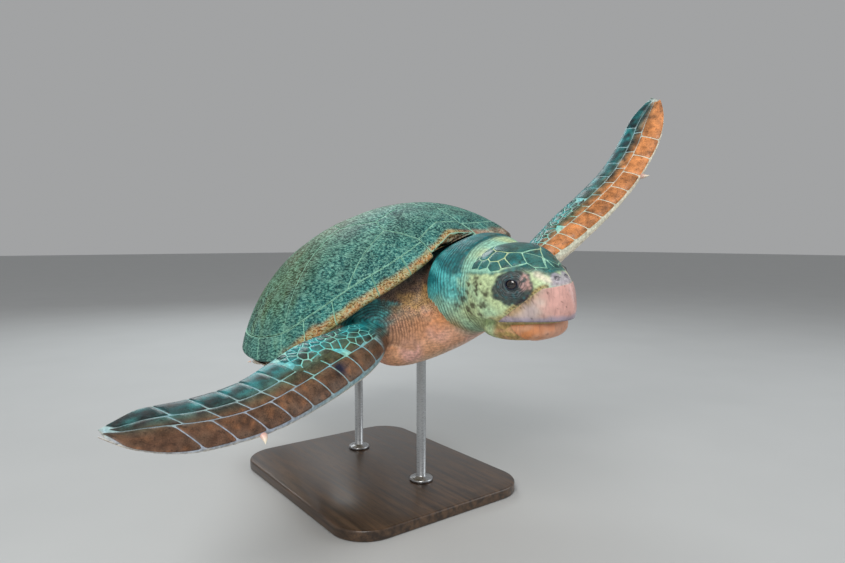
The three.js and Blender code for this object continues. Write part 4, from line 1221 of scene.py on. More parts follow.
@dataclass
class Plate:
    """One horn plate of the shell, from its outline in plan.

    Each corner of the outline is (forward, left). The plate follows the shell's face, its border
    dips into the seam, and faint growth rings run round it inside the border.
    """

    name: str
    outline: Sequence[tuple[float, float]]
    above: bool = True
    ring_reach: float | None = None
    gap: float = 0.35
    pitch: float = 5.0
    sink: float = 1.8
    border_dip: float = 1.3
    border_width: float = 4.5
    swell: float = 1.0
    ring_height: float = 0.28
    ring_pitch: float = 12.0
    thickness: float = 12.0

    def flat(self) -> bmesh.types.BMesh:
        """The plate's outline as a flat mesh, cut by the marginal ring and scored into a fine net."""
        bm = bmesh.new()
        for forward, left in self.outline:
            bm.verts.new(spot(forward, left, 0))
        bmesh.ops.contextual_create(bm, geom=bm.verts)
        if self.ring_reach is not None:
            self.cut_by_ring(bm)
        bmesh.ops.remove_doubles(bm, verts=bm.verts, dist=0.8)
        bmesh.ops.recalc_face_normals(bm, faces=bm.faces)
        for width, drop in ((self.gap, True), (1.5, False), (2.0, False)):
            middle = [f for f in bm.faces if len(f.verts) > 4] or bm.faces[:]
            middle = [max(middle, key=lambda f: f.calc_area())]
            ring = bmesh.ops.inset_individual(bm, faces=middle, thickness=width, use_even_offset=True)
            if drop:
                bmesh.ops.delete(bm, geom=ring["faces"], context="FACES")
        forwards, lefts = zip(*self.outline)
        reach = 530.0
        scored(bm, Vector((1, 0, 0)), max(min(lefts), -reach) - 0.3, min(max(lefts), reach), self.pitch)
        scored(bm, Vector((0, 1, 0)), -min(max(forwards), reach) - 0.3, -max(min(forwards), -reach),
               self.pitch)
        bm.normal_update()
        if next(iter(bm.faces)).normal.z < 0:
            bmesh.ops.reverse_faces(bm, faces=bm.faces)
        return bm

    def cut_by_ring(self, bm: bmesh.types.BMesh, facets: int = 72) -> None:
        """Cuts the outline off where the marginal plates begin."""
        turns = np.linspace(0, 2 * math.pi, facets + 1)
        forward, left = SHELL.rim_plan(turns)
        corners = [spot(f, l, 0) * self.ring_reach for f, l in zip(forward, left)]
        for a, b in zip(corners, corners[1:]):
            normal = (b - a).cross(Vector((0, 0, 1))).normalized()
            if normal.dot(a) < 0:
                normal.negate()
            bisected(bm, a, normal, fill=False)

    def border_distance(self, bm: bmesh.types.BMesh) -> Array:
        """How far each vertex of the flat net is from the nearest border."""
        points = coordinates(bm)[:, :2]
        rims = [e for e in bm.edges if e.is_boundary]
        a = np.array([e.verts[0].co.xy for e in rims])
        b = np.array([e.verts[1].co.xy for e in rims])
        along = b - a
        length = np.maximum((along ** 2).sum(1), 1e-9)
        share = np.clip(((points[:, None] - a) * along).sum(2) / length, 0, 1)
        return np.linalg.norm(points[:, None] - (a + along * share[:, :, None]), axis=2).min(1)

    def relief(self, distance: Array, points: Array) -> Array:
        """How far the plate's face stands over its sunk level, from the distance to its border."""
        dip = -self.border_dip * (1 - np.sqrt(np.clip(distance / self.border_width, 0, 1)))
        inner = ramp(distance, 3, 12)
        rings = self.ring_height * np.sin(distance / self.ring_pitch * 2 * math.pi)
        rings *= inner * (1 - ramp(distance, 40, 90))
        rough = 0.35 * Waves(5, 46).at(points) + 0.22 * Waves(8, 15).at(points)
        return dip + self.swell * ramp(distance, 2, 70) + rings + rough * inner

    def build(self) -> tuple[bmesh.types.BMesh, Array]:
        """The plate as a closed mesh.

        Returns:
            The mesh and each vertex's distance from the border.
        """
        bm = self.flat()
        distance = self.border_distance(bm)
        flat = coordinates(bm)
        if self.above:
            turn, reach = SHELL.turn_and_reach(-flat[:, 1], flat[:, 0])
            face, inward = SHELL.dome, -1
        else:
            turn, reach = SHELL.turn_and_reach(-flat[:, 1], flat[:, 0], SHELL.dish_inset)
            face, inward = SHELL.dish, 1
        level = SHELL.sunk(face, turn, reach, self.sink, inward)
        outer = SHELL.sunk(face, turn, reach, self.sink - self.relief(distance, level), inward)
        inner = SHELL.sunk(face, turn, reach, self.sink + self.thickness, inward)
        bmesh.ops.solidify(bm, geom=bm.faces[:], thickness=1.0)
        set_coordinates(bm, np.concatenate([outer, inner]))
        bmesh.ops.recalc_face_normals(bm, faces=bm.faces)
        return bm, np.concatenate([distance, distance + 9])


@dataclass
class Marginals:
    """The row of plates round one side of the rim."""

    side: Side
    seams: tuple[float, ...] = (10, 20, 33, 51, 66, 80, 94, 107, 120, 133, 146, 159, 170, 180)
    inner_reach: float = 0.92
    thickness: float = 14.0
    edge_radius: float = 6.2
    gap: float = 0.35
    sink: float = 1.0

    def plate(self, start: float, stop: float) -> tuple[bmesh.types.BMesh, Array]:
        """One plate between two turns, in degrees, and how far each vertex is from its cross seams."""
        ends = SHELL.dome(np.radians([start, stop]), np.ones(2))
        length = float(np.linalg.norm(ends[1] - ends[0]))
        middle = np.radians([(start + stop) / 2])
        inner, outer = SHELL.dome(middle, np.array([self.inner_reach])), SHELL.dome(middle, np.ones(1))
        depth = float(np.linalg.norm(outer - inner))
        bm = bmesh.new()
        bmesh.ops.create_cube(bm, size=1.0)
        bmesh.ops.scale(bm, vec=(length, depth, self.thickness), verts=bm.verts)
        rim = [e for e in bm.edges if all(v.co.y > 0 for v in e.verts)
               and abs(e.verts[0].co.x - e.verts[1].co.x) > 1]
        bmesh.ops.bevel(bm, geom=rim, offset=self.edge_radius, segments=5, profile=0.5, affect="EDGES",
                        material=-1)
        ends = [e for e in bm.edges if abs(e.verts[0].co.x - e.verts[1].co.x) < 1e-4]
        bmesh.ops.bevel(bm, geom=ends, offset=1.2, segments=2, profile=0.5, affect="EDGES", material=-1)
        scored(bm, Vector((1, 0, 0)), -length / 2 + 4, length / 2 - 2, 6.0)
        scored(bm, Vector((0, 1, 0)), -depth / 2 + 4, depth / 2 - self.edge_radius, 6.0)
        points = coordinates(bm)
        share = (points[:, 0] * (1 - 2 * self.gap / length)) / length + 0.5
        turn = np.radians(lerp(start, stop, share)) * self.side.value
        reach = lerp(self.inner_reach + 0.002, 0.997, points[:, 1] / depth + 0.5)
        off = length / 2 - np.abs(points[:, 0])
        dip = 1.4 * (1 - np.sqrt(np.clip(off / 5, 0, 1)))
        down = self.sink + self.thickness / 2 - points[:, 2] * (1 - dip * 2 / self.thickness)
        set_coordinates(bm, SHELL.sunk(SHELL.dome, turn, reach, down, -1))
        bmesh.ops.recalc_face_normals(bm, faces=bm.faces)
        return bm, np.minimum(off, np.hypot(points[:, 1] + depth / 2, 0.0))

    def build(self) -> tuple[bmesh.types.BMesh, Array]:
        """The whole row as one mesh, with each vertex's distance from a seam."""
        plates = [self.plate(a, b) for a, b in zip(self.seams, self.seams[1:])]
        return joined(bm for bm, _ in plates), np.concatenate([off for _, off in plates])


VERTEBRAL_SEAMS = ((346, 62), (222, 66), (62, 78), (-112, 74), (-270, 60), (-480, 44))
VERTEBRAL_CORNERS = ((268, 84), (132, 108), (-28, 112), (-196, 96), (-348, 70))
COSTAL_SEAM_ENDS = ((276, 214), (92, 348), (-104, 352), (-292, 262))
COSTAL_FRONT_CORNERS = ((400, 330), (420, 82))
COSTAL_REAR_CORNERS = ((-520, 40), (-520, 330))
NUCHAL_HALF_ANGLE = 10.0
PLASTRON_SEAMS = (236, 142, 36, -94, -226)
PLASTRON_PLATES = ("gular", "humeral", "pectoral", "abdominal", "femoral", "anal")
BRIDGE_INNER, BRIDGE_FRONT, BRIDGE_REAR = 214, 150, -190


def mirrored(outline: Sequence[tuple[float, float]]) -> list[tuple[float, float]]:
    """An outline on the other side of the midline."""
    return [(forward, -left) for forward, left in outline]


@dataclass
class Carapace:
    """The carapace: five vertebral plates, five costals a side, the nuchal and the marginals."""

    ring_reach: float = 0.92

    def vertebral(self, i: int) -> Plate:
        """The vertebral plate at a place from the front."""
        half = [VERTEBRAL_SEAMS[i], VERTEBRAL_CORNERS[i], VERTEBRAL_SEAMS[i + 1]]
        return Plate(f"vertebral_{i + 1}", [*half, *mirrored(half)[::-1]], ring_reach=self.ring_reach)

    def costal(self, i: int, side: Side) -> Plate:
        """The costal plate at a place from the front, on one side."""

        def run_out(end: tuple[float, float]) -> tuple[float, float]:
            """A place past the end of a seam, beyond the rim."""
            return end[0] * 1.02 - 4, end[1] * 1.35

        if i == 0:
            rear = COSTAL_SEAM_ENDS[0]
            outline = [VERTEBRAL_SEAMS[0], VERTEBRAL_CORNERS[0], rear, run_out(rear), *COSTAL_FRONT_CORNERS]
        else:
            ahead = COSTAL_SEAM_ENDS[i - 1]
            outline = [VERTEBRAL_CORNERS[i - 1], VERTEBRAL_SEAMS[i], VERTEBRAL_CORNERS[i]]
            if i == len(COSTAL_SEAM_ENDS):
                outline += [VERTEBRAL_SEAMS[i + 1], *COSTAL_REAR_CORNERS]
            else:
                outline += [COSTAL_SEAM_ENDS[i], run_out(COSTAL_SEAM_ENDS[i])]
            outline += [run_out(ahead), ahead]
        outline = outline if side is Side.LEFT else mirrored(outline)
        return Plate(f"costal_{side.label}_{i + 1}", outline, ring_reach=self.ring_reach)

    def nuchal(self) -> Plate:
        """The nuchal plate, at the front over the neck."""
        edge = np.radians([NUCHAL_HALF_ANGLE])
        forward, left = (float(v[0]) * 1.2 for v in SHELL.rim_plan(edge))
        half = [VERTEBRAL_SEAMS[0], (forward, left)]
        return Plate("nuchal", [*half, *mirrored(half)[::-1]], ring_reach=0.985, thickness=5.0)

    def plates(self) -> list[Plate]:
        """All the plates inside the ring of marginals, and the nuchal."""
        found = [self.nuchal(), *(self.vertebral(i) for i in range(5))]
        return found + [self.costal(i, side) for side in Side for i in range(5)]

    def dress(self, material: bpy.types.Material) -> None:
        """Builds every plate and row with its finish."""
        for plate in self.plates():
            bm, distance = plate.build()
            pigment = shell_colours(coordinates(bm))
            Piece(plate.name, bm, material, "carapace_scute", [plate.name]).paint(edge=distance,
                                                                                  pigment=pigment)
        for side in Side:
            bm, distance = Marginals(side).build()
            name = f"marginals_{side.label}"
            pigment = shell_colours(coordinates(bm))
            Piece(name, bm, material, "carapace_scute", [name]).paint(edge=distance, pigment=pigment)


@dataclass
class Plastron:
    """The plates of the belly and the bridges up to the rim."""

    bridge_reach: float = 0.965

    def plates(self) -> list[Plate]:
        """Every plate of the belly, front to back, and the bridges."""
        found = []
        seams = [PLASTRON_OUTLINE[0][0], *PLASTRON_SEAMS, PLASTRON_OUTLINE[-1][0]]
        outline = np.array(sorted(PLASTRON_OUTLINE))
        for side in Side:
            for i, name in enumerate(PLASTRON_PLATES):
                front, rear = seams[i], seams[i + 1]
                between = [row for row in PLASTRON_OUTLINE if rear < row[0] < front and row[1] < BRIDGE_INNER]
                ends = [(f, min(float(np.interp(f, outline[:, 0], outline[:, 1])), BRIDGE_INNER))
                        for f in (front, rear)]
                corners = [(front, 0.0), ends[0], *self.bridge_corners(front, rear), *between, ends[1],
                           (rear, 0.0)]
                corners = sorted(set(corners[1:-1]), key=lambda row: -row[0])
                half = [(front, 0.0), *corners, (rear, 0.0)]
                found.append(self.plate(f"{name}_{side.label}", half, side))
            bridge = [(BRIDGE_FRONT, BRIDGE_INNER), (130, 420), (-150, 420), (-172, BRIDGE_INNER)]
            found.append(self.plate(f"bridge_{side.label}", bridge, side, self.bridge_reach))
        return found

    def bridge_corners(self, front: float, rear: float) -> list[tuple[float, float]]:
        """Where the outline crosses the bridge's inner seam between two cross seams."""
        crossings = [(132.0, float(BRIDGE_INNER)), (-152.0, float(BRIDGE_INNER))]
        return [row for row in crossings if rear < row[0] < front]

    def plate(self, name: str, outline: Sequence[tuple[float, float]], side: Side,
              reach: float | None = None) -> Plate:
        """One plate with the plastron's sizes, on one side."""
        outline = outline if side is Side.LEFT else mirrored(outline)
        return Plate(name, outline, False, reach, pitch=8.0, sink=1.2, border_dip=0.9, swell=0.5,
                     ring_height=0.12, thickness=9.0)

    def dress(self, material: bpy.types.Material) -> None:
        """Builds every plate with its finish."""
        for plate in self.plates():
            bm, distance = plate.build()
            pigment = belly_colours(coordinates(bm))
            Piece(plate.name, bm, material, "plastron_scute", [plate.name]).paint(edge=distance,
                                                                                  pigment=pigment)


# ---------------------------------------------------------------- the scales


TILE_SIZE = 0.23
TILE_MARGIN = 0.01


class Face(ABC):
    """A part of the skin opened out flat, in millimetres."""

    tile: tuple[float, float] = (0.0, 0.0)
    span: tuple[float, float, float, float] = (0.0, 1.0, 0.0, 1.0)

    @abstractmethod
    def at(self, flat: Array, rise: Array) -> Array:
        """Points of the turtle's frame.

        Args:
            flat: places on the opened-out skin, in two columns.
            rise: how high each point stands over the skin.

        Returns:
            The points.
        """

    def chart(self, root: tuple[float, float]) -> Array:
        """Where a place of the face lies on the chart of all the skin."""
        low_x, high_x, low_y, high_y = self.span
        x, y = (root[0] - low_x) / (high_x - low_x), (root[1] - low_y) / (high_y - low_y)
        return np.array([self.tile[0] + TILE_SIZE * x, self.tile[1] + TILE_SIZE * y]) + TILE_MARGIN


@dataclass
class BladeFace(Face):
    """The upper or the lower face of a flipper: along it, then across it from the leading edge."""

    flipper: Flipper
    above: bool
    tile: tuple[float, float] = (0.0, 0.0)
    half: float = BLADE_HALF

    def __post_init__(self) -> None:
        """Spans the whole blade."""
        self.span = (0.0, self.flipper.length, -self.half, self.half)

    def at(self, flat: Array, rise: Array) -> Array:
        """Points over the blade."""
        place = flat[:, 0] / self.flipper.length
        turn = np.arccos(np.clip(flat[:, 1] / self.half, -0.9995, 0.9995)) * (1 if self.above else -1)
        surface, outward = self.flipper.surface(place, turn, -SKIN_INSET)
        return surface + outward * rise[:, None]


@dataclass
class HeadFace(Face):
    """The head's sides and crown: forward, then round from the crown."""

    tile: tuple[float, float] = (0.0, 0.5)
    radius: float = 95.0

    def __post_init__(self) -> None:
        """Spans the head from its back to the beak."""
        self.span = (-30.0, 235.0, -300.0, 300.0)

    def at(self, flat: Array, rise: Array) -> Array:
        """Points over the head."""
        turn = math.pi / 2 - flat[:, 1] / self.radius
        surface, outward = HEAD.surface(flat[:, 0], turn, -SKIN_INSET)
        return moved(surface + outward * rise[:, None], PLACE.head)


@dataclass
class Mosaic:
    """Horny scales that lie side by side on one face of the skin, with narrow seams between them."""

    face: Face
    seed: int
    gap: float = 1.7
    rise: float = 1.3
    bevel: float = 1.2
    score: float = 9.0
    roundest: float = 0.3
    outlines: list[list[tuple[float, float]]] = field(default_factory=list)

    def add_row(self, lower: Stations, upper: Stations, cuts: Sequence[float], slant: float = 0.0) -> None:
        """A row of scales between two borders.

        Args:
            lower: the border nearer the leading edge, as places across at places along.
            upper: the other border.
            cuts: where the seams between the scales cross the row's middle.
            slant: how far a seam runs on along the row from the lower border to the upper one.
        """
        rng = random.Random(self.seed)
        for start, stop in zip(cuts, cuts[1:]):
            steps = max(2, round((stop - start) / 16))
            share = np.linspace(0, 1, steps + 1)
            low = lerp(start, stop, share) - slant / 2
            high = lerp(start, stop, share) + slant / 2
            bow = rng.uniform(1.0, 3.0) * np.sin(math.pi * share)
            below = lower.at(low)[:, 0] - bow * 0.25
            over = upper.at(high)[:, 0] + bow * 0.25
            corners = [*zip(low, below), *zip(high[::-1], over[::-1])]
            self.outlines.append([(float(x), float(y)) for x, y in corners])

    def add_cells(self, seeds: Array, keep: Callable[[Array], Array],
                  limits: Sequence[tuple[Stations, int]] = (), sizes: Array | None = None) -> None:
        """Cells round seeds, each of the places that are nearest to it.

        Args:
            seeds: the seeds' places, in two columns; those round the rim only shape their neighbours.
            keep: whether each seed gets a scale.
            limits: borders that the cells stop at, with 1 to stay above one and -1 to stay below.
            sizes: a radius for each seed, where a bigger cell pushes its neighbours back.
        """
        sizes = np.zeros(len(seeds)) if sizes is None else sizes
        for i in np.flatnonzero(keep(seeds)):
            off = seeds - seeds[i]
            away = np.hypot(off[:, 0], off[:, 1])
            near = np.argsort(away)[1:17]
            cell = bmesh.new()
            radius = float(away[near[:3]].mean()) * 1.5 + float(sizes[i])
            bmesh.ops.create_circle(cell, cap_ends=True, segments=12, radius=radius)
            middle = Vector((*seeds[i], 0))
            bmesh.ops.translate(cell, vec=middle, verts=cell.verts)
            for j in near:
                other = Vector((*seeds[j], 0))
                share = 0.5 + (sizes[i] ** 2 - sizes[j] ** 2) / (2 * away[j] ** 2)
                bisected(cell, middle.lerp(other, float(share)), other - middle, fill=False)
            for border, keep_above in limits:
                x = seeds[i, 0]
                ends = [Vector((x + d, float(border.at(np.array([x + d]))[0, 0]), 0)) for d in (-8.0, 8.0)]
                along = ends[1] - ends[0]
                bisected(cell, ends[0], Vector((along.y, -along.x, 0)) * keep_above, fill=False)
            face = next(iter(cell.faces), None)
            if face is not None and face.calc_area() > 12:
                self.outlines.append([(v.co.x, v.co.y) for v in face.verts])
            cell.free()

    def scale(self, outline: Sequence[tuple[float, float]]) -> bmesh.types.BMesh | None:
        """One scale on the flat, with its height in z; none if the outline is too small."""
        bm = bmesh.new()
        for x, y in outline:
            bm.verts.new((x, y, 0))
        bmesh.ops.contextual_create(bm, geom=bm.verts)
        face = next(iter(bm.faces), None)
        width = math.sqrt(face.calc_area()) if face is not None else 0.0
        bmesh.ops.remove_doubles(bm, verts=bm.verts, dist=max(0.8, width * 0.16))
        face = next(iter(bm.faces), None)
        if face is None or 4 * math.pi * face.calc_area() < self.roundest * face.calc_perimeter() ** 2:
            bm.free()
            return None
        bm.normal_update()
        if face.normal.z < 0:
            face.normal_flip()
        gap, bevel = min(self.gap, width * 0.16) / 2, min(self.bevel, width * 0.12)
        corners = [v for v in bm.verts if v.calc_edge_angle(0) > math.radians(28)]
        bmesh.ops.bevel(bm, geom=corners, offset=width * 0.1, segments=2, profile=0.5, affect="VERTICES",
                        material=-1, clamp_overlap=True)
        for step, (inset, height) in enumerate(((gap, 0), (bevel * 0.45, 0.62), (bevel * 0.55, 0.38))):
            top = max(bm.faces, key=lambda f: f.calc_area())
            ring = bmesh.ops.inset_individual(bm, faces=[top], thickness=inset, use_even_offset=False)
            if step == 0:
                bmesh.ops.delete(bm, geom=ring["faces"], context="FACES")
            else:
                bmesh.ops.translate(bm, vec=(0, 0, height * self.rise), verts=top.verts)
        if width > self.score * 1.4:
            xs, ys = zip(*outline)
            scored(bm, Vector((1, 0, 0)), min(xs) + self.score * 0.6, max(xs), self.score)
            scored(bm, Vector((0, 1, 0)), min(ys) + self.score * 0.6, max(ys), self.score)
        rim = [e for e in bm.edges if e.is_boundary]
        skirt = bmesh.ops.extrude_edge_only(bm, edges=rim)["geom"]
        down = [v for v in skirt if isinstance(v, bmesh.types.BMVert)]
        bmesh.ops.translate(bm, vec=(0, 0, -1.2), verts=down)
        bmesh.ops.holes_fill(bm, edges=[e for e in skirt if isinstance(e, bmesh.types.BMEdge)])
        return bm

    def build(self) -> tuple[bmesh.types.BMesh, dict[str, Array], Array]:
        """All the scales as one mesh.

        Returns:
            The mesh, its attributes, and its places on the chart, one for each vertex.
        """
        rng = random.Random(self.seed)
        parts, tones, charts = [], [], []
        for outline in self.outlines:
            bm = self.scale(outline)
            if bm is None:
                continue
            flat = coordinates(bm)
            middle = flat[:, :2].mean(0)
            spread = np.abs(flat[:, :2] - middle).max()
            charts.append(self.face.chart(middle) + (flat[:, :2] - middle) / spread * 0.0015)
            tones.append(np.full(len(flat), rng.uniform(-1, 1)))
            parts.append(bm)
        bm = joined(parts)
        flat = coordinates(bm)
        points = self.face.at(flat[:, :2], flat[:, 2] - 0.25)
        set_coordinates(bm, points)
        bmesh.ops.recalc_face_normals(bm, faces=bm.faces)
        core, seam = PIGMENT.at(points)
        over = ramp(flat[:, 2] / self.rise, 0.1, 0.7)
        values = {"pigment": tinted(seam, core, over), "tone": np.concatenate(tones), "horn": over}
        return bm, values, np.concatenate(charts)

    def dress(self, name: str, material: bpy.types.Material) -> None:
        """Builds the scales as a piece over the skin."""
        bm, values, chart = self.build()
        piece = Piece(name, bm, material, "skin").paint(**values)
        mesh = piece.object.data
        corners = np.zeros(len(mesh.loops), np.int32)
        mesh.loops.foreach_get("vertex_index", corners)
        layer = mesh.uv_layers.new(name="OFBake")
        layer.uv.foreach_set("vector", chart[corners].astype(np.float32).ravel())




def scattered(seed: int, box: tuple[float, float, float, float], size: Callable[[Array], Array],
              jitter: float = 0.22) -> Array:
    """Seeds for cells, in staggered rows with a little disorder.

    Args:
        seed: picks the disorder.
        box: the lowest and highest place along, then across.
        size: the distance between seeds at places along and across, in two columns.
        jitter: the disorder, as a share of the distance.

    Returns:
        The seeds' places, in two columns.
    """
    rng = random.Random(seed)
    low_x, high_x, low_y, high_y = box
    found = []
    y = low_y
    while y < high_y:
        row_size = float(size(np.array([[(low_x + high_x) / 2, y]]))[0])
        x = low_x + rng.uniform(0, row_size)
        while x < high_x:
            step = float(size(np.array([[x, y]]))[0])
            found.append((x + rng.gauss(0, jitter) * step, y + rng.gauss(0, jitter) * step))
            x += step
        y += row_size * 0.87
    return np.array(found)


@dataclass
class Coat:
    """All the scales: on the flippers' two faces and on the head's crown."""

    def front_upper(self, side: Side, tile: tuple[float, float]) -> Mosaic:
        """The upper face of a front flipper: rows of big scales in front, many-sided cells behind."""
        flipper = FRONT_FLIPPERS[side]
        mosaic = Mosaic(BladeFace(flipper, True, tile), 11 if side is Side.RIGHT else 12)
        length = flipper.length
        edge, rear = Stations(((0, -62.5), (length, -62.5))), Stations(((0, 62), (length, 62)))
        lead = Stations(((0, -30), (120, -24), (260, -18), (400, -12), (480, 0), (length, 20)))
        second = Stations(((0, 2), (200, 6), (400, 16), (480, 26), (length, 38)))
        lean = 14 if side is Side.RIGHT else -14
        rows = ((edge, lead, (52, 92, 136, 180, 226, 274, 322, 372, 424, 476, 566), lean),
                (lead, second, (150, 190, 232, 276, 322, 370, 420, 474, 556), lean * 0.8),
                (second, rear, (250, 290, 332, 376, 424, 478, 556), lean * 0.7))
        for lower, upper, cuts, slant in rows:
            mosaic.add_row(lower, upper, cuts, slant)

        def size(flat: Array) -> Array:
            """The cells' size, smaller towards the trailing edge and the root."""
            return lerp(25, 15, ramp(flat[:, 1], -24, 52)) * lerp(0.6, 1.0, ramp(flat[:, 0], 30, 120))

        def keep(flat: Array) -> Array:
            """Where cells may lie: behind the last row that has begun."""
            x, y = flat[:, 0], flat[:, 1]
            low = lead.at(x)[:, 0]
            for _, upper, cuts, _ in rows[1:]:
                low = np.where(x > cuts[0] - 6, upper.at(x)[:, 0], low)
            return (y > low - 5) & (y < 60) & (x > 46) & (x < rows[-1][2][0] - 4)

        mosaic.add_cells(scattered(21, (-40, 0.62 * length, -60, 80), size), keep, [(lead, 1), (rear, -1)])
        return mosaic

    def plain_cells(self, face: BladeFace, seed: int, around: float) -> Mosaic:
        """Cells all over one face of a flipper, larger towards the tip."""
        mosaic = Mosaic(face, seed, gap=2.0, rise=1.2)
        length = face.flipper.length

        def size(flat: Array) -> Array:
            """The cells' size, larger towards the tip."""
            return around * lerp(0.6, 1.25, ramp(flat[:, 0] / length, 0.05, 0.9))

        def keep(flat: Array) -> Array:
            """Where cells may lie: clear of the blade's edges and ends."""
            return (np.abs(flat[:, 1]) < 58) & (flat[:, 0] > 0.06 * length) & (flat[:, 0] < 0.975 * length)

        lead, rear = Stations(((0, -62), (length, -62))), Stations(((0, 62), (length, 62)))
        mosaic.add_cells(scattered(seed, (-40, length + 30, -90, 90), size), keep, [(lead, 1), (rear, -1)])
        return mosaic

    def crown(self) -> Mosaic:
        """The scutes of the head's crown and temples."""
        mosaic = Mosaic(HeadFace(), 31, gap=1.7, rise=1.2, bevel=1.0, roundest=0.5)
        middle = [(100, 0, 40), (146, 0, 9), (50, 0, 14), (26, 0, 14), (2, 0, 14), (-22, 0, 14)]
        pairs = [(205, 12, 8), (206, 34, 10), (190, 12, 9), (188, 38, 10), (166, 28, 21), (164, 62, 12),
                 (141, 52, 18), (127, 72, 10), (103, 59, 14), (113, 84, 12), (88, 82, 11), (75, 58, 15),
                 (66, 82, 12), (52, 32, 15), (50, 62, 13), (40, 84, 13), (28, 30, 13), (28, 56, 13), (16, 78,
                                                                                                      12),
                 (4, 28, 13), (4, 52, 13), (-8, 74, 13), (-22, 28, 13), (-22, 54, 13), (140, 92, 12),
                 (120, 108, 12), (94, 104, 12), (68, 106, 12), (40, 108, 12), (12, 102, 12), (184, 70, 10),
                 (158, 86, 10)]
        rng = random.Random(5)
        rows = middle + [(x + rng.uniform(-1.5, 1.5), y * s + rng.uniform(-1.5, 1.5), r)
                         for s in (1, -1) for x, y, r in pairs]
        table = np.array(rows, float)

        def keep(flat: Array) -> Array:
            """Where scutes may lie: on the crown and temples, clear of the lids."""
            reach = 98 - 6 * (flat[:, 0] < 60) - 34 * ramp(flat[:, 0], 136, 160)
            lids = np.hypot(flat[:, 0] - 148, np.abs(flat[:, 1]) - 104) < 37
            return (np.abs(flat[:, 1]) < reach) & (flat[:, 0] > 12) & (flat[:, 0] < 198) & ~lids

        mosaic.add_cells(table[:, :2], keep, sizes=table[:, 2])
        return mosaic

    def dress(self, material: bpy.types.Material) -> None:
        """Builds every face's scales."""
        for i, side in enumerate(Side):
            front, hind = FRONT_FLIPPERS[side], HIND_FLIPPERS[side]
            self.front_upper(side, (0.25 * i, 0.0)).dress(f"scales_front_{side.label}_upper", material)
            faces = (("front", "lower", front, False, 30), ("hind", "upper", hind, True, 20),
                     ("hind", "lower", hind, False, 22))
            for j, (pair, face, flipper, above, around) in enumerate(faces):
                tile = (0.25 * i, 0.25 + 0.25 * j)
                mosaic = self.plain_cells(BladeFace(flipper, above, tile), 41 + 10 * i + j, around)
                mosaic.dress(f"scales_{pair}_{side.label}_{face}", material)
        self.crown().dress("scales_head", material)


# ---------------------------------------------------------------- finishes


class Graph:
    """A shader's nodes, added one after the other."""

    def __init__(self, tree: bpy.types.NodeTree) -> None:
        """Starts from an empty tree."""
        self.tree = tree
        tree.nodes.clear()

    def node(self, kind: str, inputs: dict | None = None, **settings: object) -> bpy.types.Node:
        """Adds a node.

        Args:
            kind: the node's type.
            inputs: values or sockets for its inputs, by name or number.
            settings: the node's own properties.

        Returns:
            The node.
        """
        node = self.tree.nodes.new(kind)
        for key, value in settings.items():
            setattr(node, key, value)
        for key, value in (inputs or {}).items():
            if isinstance(value, bpy.types.NodeSocket):
                self.tree.links.new(value, node.inputs[key])
            else:
                node.inputs[key].default_value = value
        return node

    def attribute(self, name: str) -> bpy.types.Node:
        """A piece's own attribute."""
        return self.node("ShaderNodeAttribute", attribute_name=name)

    def places(self) -> bpy.types.NodeSocket:
        """The place on the piece, in metres."""
        return self.node("ShaderNodeTexCoord").outputs["Object"]

    def maths(self, operation: str, a: object, b: object = 0.0, clamp: bool = False) -> bpy.types.NodeSocket:
        """One sum of two values."""
        node = self.node("ShaderNodeMath", {0: a, 1: b}, operation=operation, use_clamp=clamp)
        return node.outputs[0]

    def stretched(self, value: object, low: float, high: float, to_low: float = 0.0,
                  to_high: float = 1.0) -> bpy.types.NodeSocket:
        """A value taken from one range to another, and held inside it."""
        node = self.node("ShaderNodeMapRange", {0: value, 1: low, 2: high, 3: to_low, 4: to_high})
        return node.outputs[0]

    def mixed(self, a: object, b: object, factor: object, blend: str = "MIX") -> bpy.types.NodeSocket:
        """Two colours mixed."""
        node = self.node("ShaderNodeMix", data_type="RGBA", blend_type=blend)
        for key, value in ((0, factor), (6, a), (7, b)):
            if isinstance(value, bpy.types.NodeSocket):
                self.tree.links.new(value, node.inputs[key])
            else:
                node.inputs[key].default_value = value
        return node.outputs[2]

    def noise(self, place: object, cells: float, detail: float = 3.0) -> bpy.types.NodeSocket:
        """Soft noise with a number of cells to the metre."""
        return self.node("ShaderNodeTexNoise",
                         {"Vector": place, "Scale": cells, "Detail": detail}).outputs["Fac"]


def rgba(hue: Hue, light: float = 1.0) -> tuple[float, float, float, float]:
    """A named colour for a shader's socket."""
    return (*(hue.linear * light).tolist(), 1.0)


def group(name: str, inputs: dict[str, tuple[str, float]],
          outputs: dict[str, str]) -> tuple[Graph, bpy.types.NodeTree]:
    """A new node group with named sockets.

    Args:
        name: the group's name.
        inputs: the kind and first value of each input.
        outputs: the kind of each output.

    Returns:
        A graph to add its nodes with, and the group itself.
    """
    tree = bpy.data.node_groups.new(name, "ShaderNodeTree")
    for key, (kind, value) in inputs.items():
        socket = tree.interface.new_socket(name=key, in_out="INPUT", socket_type=kind)
        if kind == "NodeSocketFloat":
            socket.default_value = value
    for key, kind in outputs.items():
        tree.interface.new_socket(name=key, in_out="OUTPUT", socket_type=kind)
    return Graph(tree), tree


